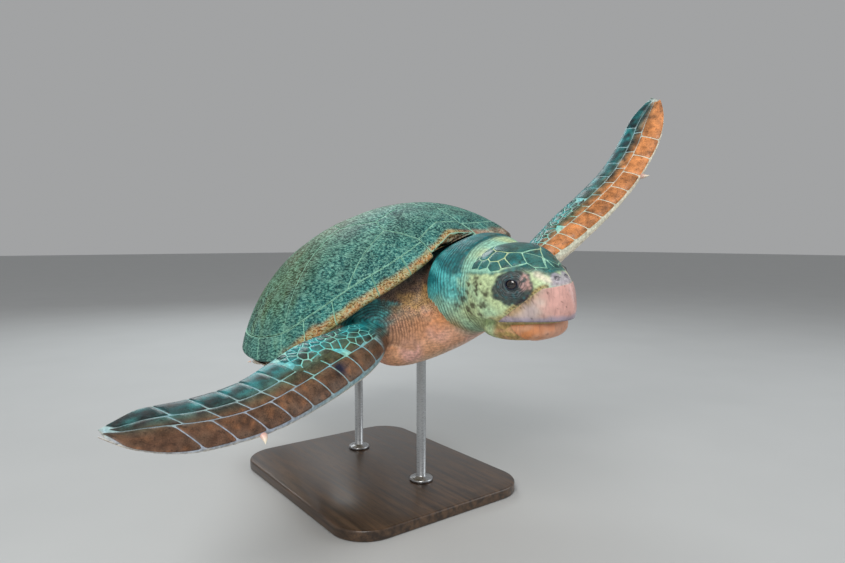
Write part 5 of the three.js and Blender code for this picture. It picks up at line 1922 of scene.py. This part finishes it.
@dataclass
class Effects:
    """The effects that several finishes share, as node groups made once."""

    speckle: bpy.types.NodeTree = field(init=False)
    pebbles: bpy.types.NodeTree = field(init=False)

    def __post_init__(self) -> None:
        """Makes the groups that every finish shares."""
        self.speckle = self.make_speckle()
        self.pebbles = self.make_pebbles()

    def make_speckle(self) -> bpy.types.NodeTree:
        """A mask of small irregular flecks."""
        graph, tree = group("speckle", {"Vector": ("NodeSocketVector", 0), "Cells": ("NodeSocketFloat", 400),
                                        "Low": ("NodeSocketFloat", 0.45), "High": ("NodeSocketFloat", 0.6)},
                            {"Mask": "NodeSocketFloat"})
        source = graph.node("NodeGroupInput").outputs
        noise = graph.node("ShaderNodeTexNoise",
                           {"Vector": source["Vector"], "Scale": source["Cells"], "Detail": 4.0,
                                                  "Roughness": 0.65})
        mask = graph.node("ShaderNodeMapRange",
                          {0: noise.outputs["Fac"], 1: source["Low"], 2: source["High"]},
                          interpolation_type="SMOOTHSTEP")
        graph.node("NodeGroupOutput", {"Mask": mask.outputs[0]})
        return tree

    def make_pebbles(self) -> bpy.types.NodeTree:
        """Small skin cells: a mask of their creases and their height."""
        graph, tree = group("pebbles", {"Vector": ("NodeSocketVector", 0), "Cells": ("NodeSocketFloat", 220),
                                        "Crease": ("NodeSocketFloat", 0.12)},
                            {"Creases": "NodeSocketFloat", "Height": "NodeSocketFloat"})
        source = graph.node("NodeGroupInput").outputs
        warp = graph.node("ShaderNodeTexNoise", {"Vector": source["Vector"], "Scale": 90.0, "Detail": 2.0})
        shift = graph.node("ShaderNodeVectorMath", {0: warp.outputs["Color"], 1: (0.004, 0.004, 0.004)},
                           operation="MULTIPLY")
        place = graph.node("ShaderNodeVectorMath", {0: source["Vector"], 1: shift.outputs[0]},
                           operation="ADD")
        cells = graph.node("ShaderNodeTexVoronoi", {"Vector": place.outputs[0], "Scale": source["Cells"]},
                           feature="DISTANCE_TO_EDGE")
        height = graph.node("ShaderNodeMapRange", {0: cells.outputs["Distance"], 1: 0.0, 2: source["Crease"]},
                            interpolation_type="SMOOTHSTEP")
        graph.node("NodeGroupOutput", {"Creases": graph.maths("SUBTRACT", 1.0, height.outputs[0]),
                                       "Height": height.outputs[0]})
        return tree


@dataclass(frozen=True)
class Finish(ABC):
    """A material: its gloss, and the nodes that colour it."""

    name: str
    roughness: float = 0.5
    coat: float = 0.0
    specular: float = 0.5

    @abstractmethod
    def surface(self, graph: Graph, effects: Effects) -> dict[str, bpy.types.NodeSocket]:
        """The sockets that feed the shader, by its inputs' names, with "Height" for the relief."""

    def build(self, effects: Effects) -> bpy.types.Material:
        """Makes the material."""
        material = bpy.data.materials.new(self.name)
        material.use_nodes = True
        graph = Graph(material.node_tree)
        feeds = self.surface(graph, effects)
        height, depth = feeds.pop("Height", None), 0.0006
        settings = {"Roughness": self.roughness, "Coat Weight": self.coat,
                    "Specular IOR Level": self.specular, "Coat Roughness": 0.18}
        settings.update(feeds)
        shader = graph.node("ShaderNodeBsdfPrincipled", settings)
        if height is not None:
            bump = graph.node("ShaderNodeBump", {"Height": height, "Strength": 0.55, "Distance": depth})
            graph.tree.links.new(bump.outputs[0], shader.inputs["Normal"])
        graph.node("ShaderNodeOutputMaterial", {"Surface": shader.outputs[0]})
        return material


@dataclass(frozen=True)
class SkinFinish(Finish):
    """Moist skin: the markings, small creased cells and wrinkles where the skin folds, with painted shade in
    the creases and in the folds' troughs.
    """

    cells: float = 230.0

    def surface(self, graph: Graph, effects: Effects) -> dict[str, bpy.types.NodeSocket]:
        """Colour from the markings and dark flecks, with painted shade in the creases and the folds' troughs.
        """
        place = graph.places()
        pigment = graph.attribute("pigment").outputs["Color"]
        wrinkled = graph.attribute("wrinkled").outputs["Fac"]
        speckled = graph.attribute("speckled").outputs["Fac"]
        phase = graph.attribute("phase").outputs["Fac"]
        wave = graph.maths("SINE", graph.maths("ADD", phase,
                                               graph.maths("MULTIPLY", graph.noise(place, 34, 5), 11.0)))
        fold = graph.stretched(wave, -1.0, 0.2)
        pebbles = graph.node("ShaderNodeGroup", {}, node_tree=effects.pebbles)
        pebbles.inputs["Cells"].default_value = self.cells
        graph.tree.links.new(place, pebbles.inputs["Vector"])
        fleck = graph.node("ShaderNodeGroup", {}, node_tree=effects.speckle)
        fleck.inputs["Cells"].default_value = 340.0
        graph.tree.links.new(place, fleck.inputs["Vector"])
        # dark: the colour of the dark flecks, and of the painted shade in the creases and folds
        dark = graph.mixed(pigment, rgba(Hue.UMBER, 0.4), 0.75)
        colour = graph.mixed(pigment, dark, graph.maths("MULTIPLY", fleck.outputs["Mask"], speckled))
        # painted shade: the skin cells' creases darkened, more where the skin is speckled
        creases = graph.maths("MULTIPLY", pebbles.outputs["Creases"],
                              graph.stretched(speckled, 0, 1, 0.05, 0.3))
        colour = graph.mixed(colour, dark, creases)
        # painted shade: the troughs of the wrinkles' folds darkened
        folds = graph.maths("MULTIPLY", graph.maths("SUBTRACT", 1.0, fold), wrinkled)
        colour = graph.mixed(colour, dark, folds)
        shade = graph.stretched(graph.noise(place, 150, 6), 0.3, 0.7, 0.62, 1.3)
        colour = graph.node("ShaderNodeVectorMath", {0: colour}, operation="SCALE")
        graph.tree.links.new(shade, colour.inputs["Scale"])
        height = graph.maths("ADD", graph.maths("MULTIPLY", pebbles.outputs["Height"], 0.35),
                             graph.maths("MULTIPLY", fold, graph.maths("MULTIPLY", wrinkled, 1.6)))
        return {"Base Color": colour.outputs[0], "Height": height,
                "Roughness": graph.stretched(graph.noise(place, 60), 0.3, 0.7, 0.42, 0.66)}


@dataclass(frozen=True)
class ScaleFinish(Finish):
    """Horny scales: the markings, mottled in each scale, with fine growth lines."""

    def surface(self, graph: Graph, effects: Effects) -> dict[str, bpy.types.NodeSocket]:
        """Colour from the markings, mottled and toned from scale to scale."""
        place = graph.places()
        pigment = graph.attribute("pigment").outputs["Color"]
        tone = graph.attribute("tone").outputs["Fac"]
        horn = graph.attribute("horn").outputs["Fac"]
        coarse = graph.noise(place, 55, 4)
        fine = graph.noise(place, 420, 3)
        light = graph.maths("ADD", graph.stretched(coarse, 0.3, 0.7, -0.4, 0.4),
                            graph.maths("ADD", graph.stretched(fine, 0.3, 0.7, -0.28, 0.28),
                                        graph.maths("MULTIPLY", tone, 0.22)))
        gain = graph.maths("ADD", 1.0, graph.maths("MULTIPLY", light, horn))
        colour = graph.node("ShaderNodeVectorMath", {0: pigment}, operation="SCALE")
        graph.tree.links.new(gain, colour.inputs["Scale"])
        fleck = graph.node("ShaderNodeGroup", {}, node_tree=effects.speckle)
        fleck.inputs["Cells"].default_value = 150.0
        fleck.inputs["Low"].default_value, fleck.inputs["High"].default_value = 0.56, 0.66
        graph.tree.links.new(place, fleck.inputs["Vector"])
        spots = graph.maths("MULTIPLY", fleck.outputs["Mask"], graph.maths("MULTIPLY", horn, 0.5))
        colour = graph.mixed(colour.outputs[0], rgba(Hue.UMBER, 0.5), spots)
        height = graph.maths("ADD", graph.maths("MULTIPLY", fine, 0.25), graph.maths("MULTIPLY", coarse, 0.5))
        return {"Base Color": colour, "Height": height,
                "Roughness": graph.stretched(coarse, 0.3, 0.7, 0.3, 0.5)}


@dataclass(frozen=True)
class PlateFinish(Finish):
    """The shell's horn: fine grain, streaks, pale seams and broad clouds of lighter and darker tone."""

    dark: Hue = Hue.DEEP_TEAL
    light: Hue = Hue.SEAFOAM
    seam: Hue = Hue.SEAFOAM
    seam_width: float = 1.0
    grain: float = 300.0
    contrast: float = 1.0

    def surface(self, graph: Graph, effects: Effects) -> dict[str, bpy.types.NodeSocket]:
        """Colour from dark and light strokes along the shell, pale in the seams."""
        place = graph.places()
        edge = graph.attribute("edge").outputs["Fac"]
        tint = graph.attribute("pigment").outputs["Color"]
        along = graph.node("ShaderNodeMapping", {"Vector": place, "Rotation": PLACE.turtle.to_euler()[:],
                                                 "Scale": (1.0, 4.0, 1.0)}, vector_type="TEXTURE").outputs[0]
        strokes = graph.noise(along, self.grain, 5)
        fine = graph.noise(place, self.grain * 1.9, 3)
        grain = graph.maths("ADD", graph.maths("MULTIPLY", strokes, 0.6), graph.maths("MULTIPLY", fine, 0.4))
        black = graph.mixed(tint, rgba(self.dark, 0.12), 0.85)
        pale = graph.mixed(tint, rgba(self.light), 0.62)
        colour = graph.mixed(tint, black, graph.stretched(grain, 0.42, 0.5, self.contrast * 0.95, 0.0))
        colour = graph.mixed(colour, pale, graph.stretched(grain, 0.505, 0.59, 0.0, self.contrast * 0.8))
        ribbons = graph.stretched(graph.noise(along, self.grain * 0.28, 4), 0.54, 0.66, 0.0,
                                  self.contrast * 0.35)
        colour = graph.mixed(colour, pale, ribbons)
        cloud = graph.stretched(graph.noise(place, 16, 3), 0.35, 0.65, 0.8, 1.2)
        toned = graph.node("ShaderNodeVectorMath", {0: colour}, operation="SCALE")
        graph.tree.links.new(cloud, toned.inputs["Scale"])
        ragged = graph.maths("ADD", edge, graph.stretched(graph.noise(place, 260, 3), 0, 1, -0.9, 0.9))
        line = graph.stretched(ragged, self.seam_width * 0.5, self.seam_width * 1.5, 0.85, 0.0)
        colour = graph.mixed(toned.outputs[0], rgba(self.seam), line)
        return {"Base Color": colour, "Height": graph.maths("MULTIPLY", grain, 2.0),
                "Roughness": graph.stretched(grain, 0.4, 0.6, 0.75, 0.5)}


@dataclass(frozen=True)
class HornFinish(Finish):
    """Worn horn of the beak and the claws."""

    streak: float = 0.35

    def surface(self, graph: Graph, effects: Effects) -> dict[str, bpy.types.NodeSocket]:
        """Colour from the piece, clouded and faintly streaked."""
        place = graph.places()
        pigment = graph.attribute("pigment").outputs["Color"]
        cloud = graph.noise(place, 45, 4)
        turn = graph.node("ShaderNodeMapping", {"Vector": place, "Scale": (1.0, 1.0, 0.2)})
        streaks = graph.stretched(graph.noise(turn.outputs[0], 190, 4), 0.5, 0.68)
        dark = graph.mixed(pigment, rgba(Hue.VIOLET), 0.7)
        colour = graph.mixed(pigment, dark, graph.maths("MULTIPLY", streaks, self.streak))
        gain = graph.stretched(cloud, 0.3, 0.7, 0.82, 1.16)
        toned = graph.node("ShaderNodeVectorMath", {0: colour}, operation="SCALE")
        graph.tree.links.new(gain, toned.inputs["Scale"])
        fleck = graph.node("ShaderNodeGroup", {}, node_tree=effects.speckle)
        fleck.inputs["Cells"].default_value = 210.0
        fleck.inputs["Low"].default_value, fleck.inputs["High"].default_value = 0.66, 0.74
        graph.tree.links.new(place, fleck.inputs["Vector"])
        colour = graph.mixed(toned.outputs[0], rgba(Hue.UMBER),
                             graph.maths("MULTIPLY", fleck.outputs["Mask"], 0.5))
        return {"Base Color": colour, "Height": graph.maths("ADD", cloud, streaks),
                "Roughness": graph.stretched(cloud, 0.3, 0.7, 0.28, 0.46)}


@dataclass(frozen=True)
class EyeFinish(Finish):
    """A wet eye: black pupil, dark brown iris and darker surround."""

    def surface(self, graph: Graph, effects: Effects) -> dict[str, bpy.types.NodeSocket]:
        """Colour by the angle from the eye's axis."""
        place = graph.places()
        gaze = graph.attribute("gaze").outputs["Fac"]
        veins = graph.stretched(graph.noise(place, 500, 4), 0.4, 0.62)
        iris = graph.mixed(rgba(Hue.UMBER, 0.25), rgba(Hue.BROWN, 0.22), veins)
        ball = graph.mixed(rgba(Hue.NAVY, 0.5), rgba(Hue.UMBER, 0.25), veins)
        colour = graph.mixed(iris, rgba(Hue.NAVY, 0.08), graph.stretched(gaze, 17, 21, 1, 0))
        colour = graph.mixed(colour, ball, graph.stretched(gaze, 30, 34))
        return {"Base Color": colour}


@dataclass(frozen=True)
class WoodFinish(Finish):
    """Dark stained wood with a satin varnish."""

    def surface(self, graph: Graph, effects: Effects) -> dict[str, bpy.types.NodeSocket]:
        """Long grain along the base."""
        place = graph.places()
        turn = graph.node("ShaderNodeMapping", {"Vector": place, "Scale": (1.0, 0.06, 1.0)})
        grain = graph.noise(turn.outputs[0], 90, 5)
        pores = graph.noise(turn.outputs[0], 420, 3)
        colour = graph.mixed((0.028, 0.015, 0.008, 1), (0.105, 0.058, 0.03, 1),
                             graph.stretched(grain, 0.35, 0.65))
        colour = graph.mixed(colour, (0.012, 0.007, 0.004, 1), graph.stretched(pores, 0.55, 0.7, 0, 0.7))
        return {"Base Color": colour, "Height": graph.maths("MULTIPLY", pores, 0.3),
                "Roughness": graph.stretched(grain, 0.3, 0.7, 0.3, 0.42)}


@dataclass(frozen=True)
class SteelFinish(Finish):
    """Brushed steel."""

    def surface(self, graph: Graph, effects: Effects) -> dict[str, bpy.types.NodeSocket]:
        """Fine lines round the rods."""
        place = graph.places()
        turn = graph.node("ShaderNodeMapping", {"Vector": place, "Scale": (0.1, 0.1, 1.0)})
        lines = graph.noise(turn.outputs[0], 900, 3)
        colour = graph.mixed((0.36, 0.37, 0.38, 1), (0.56, 0.57, 0.58, 1), lines)
        return {"Base Color": colour, "Height": graph.maths("MULTIPLY", lines, 0.1),
                "Metallic": graph.stretched(lines, 0, 1, 0.94, 1.0),
                "Roughness": graph.stretched(lines, 0.3, 0.7, 0.24, 0.38)}


@dataclass(frozen=True)
class FloorFinish(Finish):
    """A plain pale studio floor."""

    def surface(self, graph: Graph, effects: Effects) -> dict[str, bpy.types.NodeSocket]:
        """Almost even pale grey."""
        soft = graph.noise(graph.places(), 3.0, 2)
        return {"Base Color": graph.mixed((0.5, 0.51, 0.51, 1), (0.54, 0.55, 0.55, 1), soft)}


# ---------------------------------------------------------------- head, claws and eyes


def horn_edges(bm: bmesh.types.BMesh, angle: float = 35.0) -> list[bmesh.types.BMEdge]:
    """The sharp edges of a cut form."""
    bm.normal_update()
    return [e for e in bm.edges if e.is_manifold and e.calc_face_angle(0) > math.radians(angle)]


@dataclass
class Beak:
    """The two horny sheaths of the jaws."""

    proud: float = 0.4
    lower_top: tuple[float, float] = (124.0, -42.0)
    lower_foot: tuple[float, float] = (188.0, -140.0)

    def cut(self, bm: bmesh.types.BMesh, start: tuple[float, float], stop: tuple[float, float]) -> None:
        """Cuts away what lies over and behind a line in side view."""
        a, b = spot(start[0], 0, start[1]), spot(stop[0], 0, stop[1])
        normal = (b - a).cross(Vector((1, 0, 0))).normalized()
        if normal.dot(spot(250, 0, -60) - a) > 0:
            normal.negate()
        bisected(bm, a, normal)

    def upper(self) -> bmesh.types.BMesh:
        """The sheath of the upper jaw, with its worn cutting edge."""
        mouth, down = Skin().mouth_plane()
        bm = HEAD.mesh(128, 112, self.proud)
        bisected(bm, mouth, down)
        self.cut(bm, HORN_BORDER.back, HORN_BORDER.bend)
        self.cut(bm, HORN_BORDER.bend, HORN_BORDER.front)
        rim = sorted({v for e in horn_edges(bm) for v in e.verts}, key=lambda v: v.co[:])
        bmesh.ops.remove_doubles(bm, verts=rim, dist=1.4)
        bmesh.ops.bevel(bm, geom=horn_edges(bm), offset=0.9, segments=2, profile=0.5, affect="EDGES",
                        material=-1, clamp_overlap=True)
        return bm

    def lower(self) -> bmesh.types.BMesh:
        """The sheath of the lower jaw."""
        mouth, down = Skin().mouth_plane()
        bm = JAW.mesh(96, 96, self.proud)
        bisected(bm, mouth + down * 0.4, -down)
        self.cut(bm, self.lower_top, self.lower_foot)
        bmesh.ops.bevel(bm, geom=horn_edges(bm), offset=0.8, segments=2, profile=0.5, affect="EDGES",
                        material=-1)
        return bm

    def upper_colours(self, local: Array) -> Array:
        """Cream-grey horn, pink in front and yellowish behind, with a bluish worn edge."""
        forward, up = -local[:, 1], local[:, 2]
        mottle, fleck = Waves(14, 22).at(local), Waves(16, 8).at(local)
        colour = tinted(plain(len(local), Hue.PINK), Hue.CREAM,
                        (1 - ramp(forward + 8 * mottle, 182, 214)) * 0.6)
        colour = tinted(colour, Hue.LILAC, bump_at(forward + 6 * mottle, 176, 26) * 0.45)
        off = -HORN_BORDER.over(forward, up)
        colour = tinted(colour, Hue.OCHRE,
                        (1 - ramp(off + 4 * mottle, 4, 20)) * (1 - ramp(forward, 180, 204)) * 0.7)
        streaks = ramp(np.sin((forward + 1.3 * up) / 1.6 + 1.6 * mottle), 0.2, 0.9)
        colour = tinted(colour, Hue.UMBER,
                        streaks * (1 - ramp(off + 3 * fleck, 2, 12)) * (1 - ramp(forward, 184, 206)) * 0.7)
        mouth, down = Skin().mouth_plane()
        rise = -(local - np.array(mouth)) @ np.array(down)
        colour = tinted(colour, Hue.LILAC, (1 - ramp(rise + 3 * mottle, 4, 15)) * 0.85)
        colour = tinted(colour, Hue.NAVY, (1 - ramp(rise + 0.8 * fleck, 1.0, 3.0)) * 0.45)
        return tinted(colour, Hue.UMBER, ramp(fleck + 0.5 * mottle, 1.1, 1.5) * 0.6)

    def lower_colours(self, local: Array) -> Array:
        """Salmon-orange horn, paler at the cutting edge."""
        mottle = Waves(15, 26).at(local)
        colour = tinted(plain(len(local), Hue.ORANGE), Hue.BUFF, ramp(mottle, -0.6, 0.8) * 0.8)
        colour = tinted(colour, Hue.PINK, ramp(-local[:, 1], 150, 200) * 0.3)
        return tinted(colour, Hue.UMBER, ramp(mottle, 0.9, 1.3) * 0.4)

    def dress(self, material: bpy.types.Material) -> None:
        """Builds both sheaths."""
        for name, bm, colours in (("beak_upper", self.upper(), self.upper_colours),
                                  ("beak_lower", self.lower(), self.lower_colours)):
            pigment = colours(coordinates(bm))
            matrix = PLACE.turtle @ PLACE.head
            Piece(name, bm, material, "beak_horn", [name], matrix).paint(pigment=pigment)


@dataclass
class Eyes:
    """The eyeballs, each with a slightly raised cornea."""

    cornea: float = 0.5

    def axis(self, side: Side) -> Vector:
        """Where an eye looks: out, forward and a little up."""
        forward, out, up = EYE_AXIS
        return spot(forward, out * side.value, up).normalized()

    def dress(self, material: bpy.types.Material) -> None:
        """Builds both eyes."""
        for side in Side:
            bm = bmesh.new()
            bmesh.ops.create_uvsphere(bm, u_segments=48, v_segments=40, radius=1.0)
            ball = coordinates(bm)
            gaze = np.degrees(np.arccos(np.clip(ball[:, 2], -1, 1)))
            radius = EYE_RADIUS - 0.6 + self.cornea * (1 - ramp(gaze, 18, 36))
            set_coordinates(bm, ball * radius[:, None])
            turn = self.axis(side).to_track_quat("Z", "Y").to_matrix().to_4x4()
            forward, left, up = EYE_AT
            place = Matrix.Translation(spot(forward, left * side.value, up))
            name = f"eye_{side.label}"
            matrix = PLACE.turtle @ PLACE.head @ place @ turn
            Piece(name, bm, material, "eye", [name], matrix).paint(gaze=gaze)


@dataclass(frozen=True)
class Claw(Loft):
    """A small curved claw on a flipper's leading edge."""

    flipper: Flipper = FRONT_FLIPPERS[Side.LEFT]
    share: float = 0.665
    size: float = 26.0

    def section(self, share: Array, grow: float) -> Section:
        """The sections from root to tip."""
        centre, chord, thick, width, _ = self.flipper.run(np.array([self.share, self.share + 0.02]))
        tipward = centre[1] - centre[0]
        tipward /= np.linalg.norm(tipward)
        root = centre[0] - chord[0] * (width[0] / 2 - self.size * 0.3)
        half = self.size * 0.34 * (1 - 0.86 * share) + grow
        middle = (root - chord[0] * (self.size * 0.85 * share)[:, None]
                  + tipward * (self.size * 0.42 * share ** 2)[:, None])
        return Section(middle, tipward[None, :], thick[:1], half, half, half * 0.8, half * 0.8)


FRONT_CLAW_SHARES = {Side.LEFT: 0.665, Side.RIGHT: 0.648}
HIND_CLAWS = ((0.62, 17.0), (0.78, 14.0))


def dress_claws(material: bpy.types.Material) -> None:
    """Builds every claw."""
    claws = {}
    for side in Side:
        claws[f"claw_front_{side.label}"] = Claw(1, 0.5, FRONT_FLIPPERS[side], FRONT_CLAW_SHARES[side], 26.0)
        for i, (share, size) in enumerate(HIND_CLAWS):
            claws[f"claw_hind_{side.label}_{i + 1}"] = Claw(1, 0.5, HIND_FLIPPERS[side], share, size)
    for name, claw in claws.items():
        bm = claw.mesh(20, 20)
        points = coordinates(bm)
        root = np.array(claw.section(np.array([0.0]), 0).centre[0])
        out = np.linalg.norm(points - root, axis=1) / (claw.size * 1.3)
        pigment = tinted(plain(len(points), Hue.PINK), Hue.CREAM, ramp(out, 0.1, 0.6))
        Piece(name, bm, material, "claw", [name]).paint(pigment=pigment)


# ---------------------------------------------------------------- the stand


@dataclass
class Stand:
    """A rounded base and two turned rods up to the plastron."""

    width: float = 520.0
    depth: float = 640.0
    height: float = 26.0
    corner: float = 90.0
    bevel: float = 5.0
    rod: float = 12.0
    foot: tuple[float, float, float] = (30.0, 8.0, 6.0)
    pad: tuple[float, float, float] = (27.0, 26.0, 16.0)
    rods: dict[str, float] = field(default_factory=lambda: {"front": 130.0, "rear": -190.0})

    def base(self) -> bmesh.types.BMesh:
        """The base, in millimetres from the floor."""
        bm = bmesh.new()
        bmesh.ops.create_cube(bm, size=1.0)
        bmesh.ops.scale(bm, vec=(self.width, self.depth, self.height), verts=bm.verts)
        bmesh.ops.translate(bm, vec=(0, 0, self.height / 2), verts=bm.verts)
        upright = [e for e in bm.edges if abs(e.verts[0].co.z - e.verts[1].co.z) > 1]
        bmesh.ops.bevel(bm, geom=upright, offset=self.corner, segments=14, profile=0.5, affect="EDGES",
                        material=-1)
        bmesh.ops.bevel(bm, geom=horn_edges(bm, 60), offset=self.bevel, segments=4, profile=0.5,
                        affect="EDGES", material=-1)
        return bm

    def underside(self, x: float, y: float) -> float:
        """How high the plastron's outer face is over a place of the base."""
        up = 0.0
        back = PLACE.turtle.inverted()
        for _ in range(8):
            local = back @ Vector((x / 1000, y / 1000, up / 1000))
            dish = SHELL.dish_under(np.array([-local.y]), np.array([local.x]))[0]
            up += dish[2] - local.z
        return up

    def turned(self, name: str) -> bmesh.types.BMesh:
        """One rod, spun from its profile, its pad shaped to the plastron."""
        forward = self.rods[name]
        reach = abs(forward) / (SHELL.front if forward > 0 else SHELL.rear)
        dish = SHELL.dish(np.array([0.0 if forward > 0 else math.pi]), np.array([reach]))[0]
        top = PLACE.turtle @ Vector(dish) * 1000
        (foot, foot_rise, foot_cone), (pad, pad_reach, pad_cone) = self.foot, self.pad
        start = self.height + 0.2
        profile = [(0.01, start), (foot - 1.5, start), (foot, start + 1.5), (foot, start + foot_rise - 2),
                   (foot - 2, start + foot_rise), (self.rod + 3, start + foot_rise + foot_cone * 0.4),
                   (self.rod, start + foot_rise + foot_cone), (self.rod, top.z - pad_reach - pad_cone),
                   (self.rod + 6, top.z - pad_reach - pad_cone * 0.45), (pad, top.z - pad_reach),
                   (pad, top.z + pad_reach), (0.01, top.z + pad_reach)]
        bm = bmesh.new()
        points = [bm.verts.new((x, 0, z)) for x, z in profile]
        for a, b in zip(points, points[1:]):
            bm.edges.new((a, b))
        bmesh.ops.spin(bm, geom=bm.verts[:] + bm.edges[:], cent=(0, 0, 0), axis=(0, 0, 1), angle=2 * math.pi,
                       steps=48, use_merge=True, use_duplicate=False)
        bmesh.ops.remove_doubles(bm, verts=bm.verts, dist=0.05)
        bmesh.ops.translate(bm, vec=(top.x, top.y, 0), verts=bm.verts)
        for v in bm.verts:
            if v.co.z > top.z - pad_reach + 1:
                v.co.z = min(v.co.z, self.underside(v.co.x, v.co.y) + 0.4)
        bmesh.ops.recalc_face_normals(bm, faces=bm.faces)
        return bm

    def dress(self, wood: bpy.types.Material, steel: bpy.types.Material) -> None:
        """Builds the base and the rods."""
        scale = Matrix.Scale(0.001, 4)
        Piece("stand_base", self.base(), wood, "stand_wood", ["stand_base"], scale)
        for name in self.rods:
            node = f"stand_rod_{name}"
            Piece(node, self.turned(name), steel, "stand_steel", [node], scale)


# ---------------------------------------------------------------- the studio


@dataclass(frozen=True)
class Camera:
    """The camera, placed in the turtle's own frame in millimetres."""

    location: Vector = field(default_factory=lambda: Vector((-866, -1401, 187)))
    right: Vector = field(default_factory=lambda: Vector((0.7259, -0.5865, -0.3592)))
    up: Vector = field(default_factory=lambda: Vector((0.3600, -0.1211, 0.9251)))
    lens: float = 26.33

    def place(self) -> None:
        """Adds the camera and makes it the scene's."""
        data = bpy.data.cameras.new("camera")
        data.lens, data.sensor_width, data.clip_start = self.lens, 36.0, 0.01
        local = Matrix((self.right, self.up, self.right.cross(self.up))).transposed().to_4x4()
        local.translation = self.location
        place, turn, _ = (PLACE.turtle @ local).decompose()
        camera = bpy.data.objects.new("camera", data)
        camera.location, camera.rotation_mode, camera.rotation_quaternion = place, "QUATERNION", turn
        bpy.context.collection.objects.link(camera)
        bpy.context.scene.camera = camera


@dataclass(frozen=True)
class SoftLight:
    """A soft square lamp that looks at the turtle."""

    name: str
    place: tuple[float, float, float]
    size: float
    power: float
    colour: tuple[float, float, float] = (1.0, 1.0, 1.0)
    aim: tuple[float, float, float] = (0.0, 0.0, 0.5)

    def hang(self) -> None:
        """Adds the lamp."""
        data = bpy.data.lights.new(self.name, "AREA")
        data.shape, data.size, data.energy, data.color = "SQUARE", self.size, self.power, self.colour
        lamp = bpy.data.objects.new(self.name, data)
        lamp.location = self.place
        lamp.rotation_euler = (Vector(self.aim) - Vector(self.place)).to_track_quat("-Z", "Y").to_euler()
        bpy.context.collection.objects.link(lamp)


@dataclass(frozen=True)
class Studio:
    """A plain pale room with soft light from above."""

    room: float = 30.0
    light: float = 0.42
    lamps: tuple[SoftLight, ...] = (
        SoftLight("key", (-2.6, -2.2, 3.2), 2.2, 125.0, (1.0, 0.985, 0.96)),
        SoftLight("fill", (3.0, -2.4, 1.6), 2.6, 34.0, (0.93, 0.97, 1.0)),
        SoftLight("rim", (0.8, 3.0, 3.0), 2.0, 60.0, (0.92, 0.98, 1.0)),
    )

    def build(self, floor: bpy.types.Material) -> None:
        """Adds the floor, the lamps and the pale surroundings."""
        bm = bmesh.new()
        bmesh.ops.create_grid(bm, x_segments=2, y_segments=2, size=self.room)
        mesh = bpy.data.meshes.new("floor")
        bm.to_mesh(mesh)
        bm.free()
        mesh.materials.append(floor)
        ground = bpy.data.objects.new("floor", mesh)
        bpy.context.collection.objects.link(ground)
        for lamp in self.lamps:
            lamp.hang()
        world = bpy.data.worlds.new("studio")
        world.use_nodes = True
        world.node_tree.nodes["Background"].inputs["Color"].default_value = (0.86, 0.87, 0.88, 1)
        world.node_tree.nodes["Background"].inputs["Strength"].default_value = self.light
        bpy.context.scene.world = world
        bpy.context.scene.view_settings.view_transform = "Standard"


def shell_colours(points: Array) -> Array:
    """The carapace's ground colours: moss and olive, bluer in front and at the rim, ochre at its front."""
    forward, left = -points[:, 1], points[:, 0]
    mottle, drift = Waves(21, 60).at(points), Waves(22, 160).at(points)
    _, reach = SHELL.turn_and_reach(forward, left)
    colour = tinted(plain(len(points), Hue.MOSS), Hue.OLIVE, ramp(drift + 0.4 * mottle, -0.4, 0.9) * 0.6)
    colour = tinted(colour, Hue.TEAL, ramp(reach + 0.08 * mottle, 0.72, 0.95) * 0.55)
    colour = tinted(colour, Hue.TEAL, ramp(forward, 60, 240) * 0.55)
    colour = tinted(colour, Hue.DEEP_TEAL, ramp(forward, 100, 300) * ramp(mottle, -0.8, 0.5) * 0.6)
    rim = ramp(reach + 0.006 * mottle, 0.955, 0.975) * ramp(forward, 60, 190)
    ochre = tinted(plain(len(points), Hue.OCHRE), Hue.ORANGE, ramp(Waves(23, 24).at(points), -0.2, 0.7) * 0.6)
    ochre = tinted(ochre, Hue.PINK, ramp(left, 20, 60) * 0.6)
    ochre = tinted(ochre, Hue.BROWN, ramp(left, 20, 60) * ramp(mottle, -0.5, 0.5) * 0.7)
    return tinted(colour, ochre, rim * 0.92)


def belly_colours(points: Array) -> Array:
    """The plastron's ground colours: cream and ochre, browner towards the bridges."""
    mottle = Waves(24, 70).at(points)
    colour = tinted(plain(len(points), Hue.CREAM), Hue.OCHRE, 0.32 + 0.3 * ramp(mottle, -0.3, 0.8))
    return tinted(colour, Hue.BROWN, ramp(np.abs(points[:, 0]), 190, 330) * 0.35)


def main() -> None:
    """Builds the turtle, its stand and the studio."""
    logging.basicConfig(level=logging.INFO, format="%(message)s")
    effects = Effects()
    skin = SkinFinish("skin", coat=0.08, specular=0.35).build(effects)
    scales = ScaleFinish("scales", coat=0.08, specular=0.3).build(effects)
    shell = PlateFinish("carapace", specular=0.25).build(effects)
    belly = PlateFinish("plastron", dark=Hue.BROWN, light=Hue.CREAM, seam=Hue.BROWN, grain=120.0,
                        contrast=0.3).build(effects)
    horn = HornFinish("horn", coat=0.25).build(effects)
    claw = HornFinish("claw", coat=0.2, streak=0.15).build(effects)
    eye = EyeFinish("eye", roughness=0.06, coat=1.0).build(effects)
    Skin().dress(skin)
    Coat().dress(scales)
    Carapace().dress(shell)
    Plastron().dress(belly)
    Beak().dress(horn)
    Eyes().dress(eye)
    dress_claws(claw)
    Stand().dress(WoodFinish("wood", coat=0.3).build(effects), SteelFinish("steel").build(effects))
    Studio().build(FloorFinish("floor", roughness=0.8).build(effects))
    Camera().place()


if __name__ == "__main__":
    main()
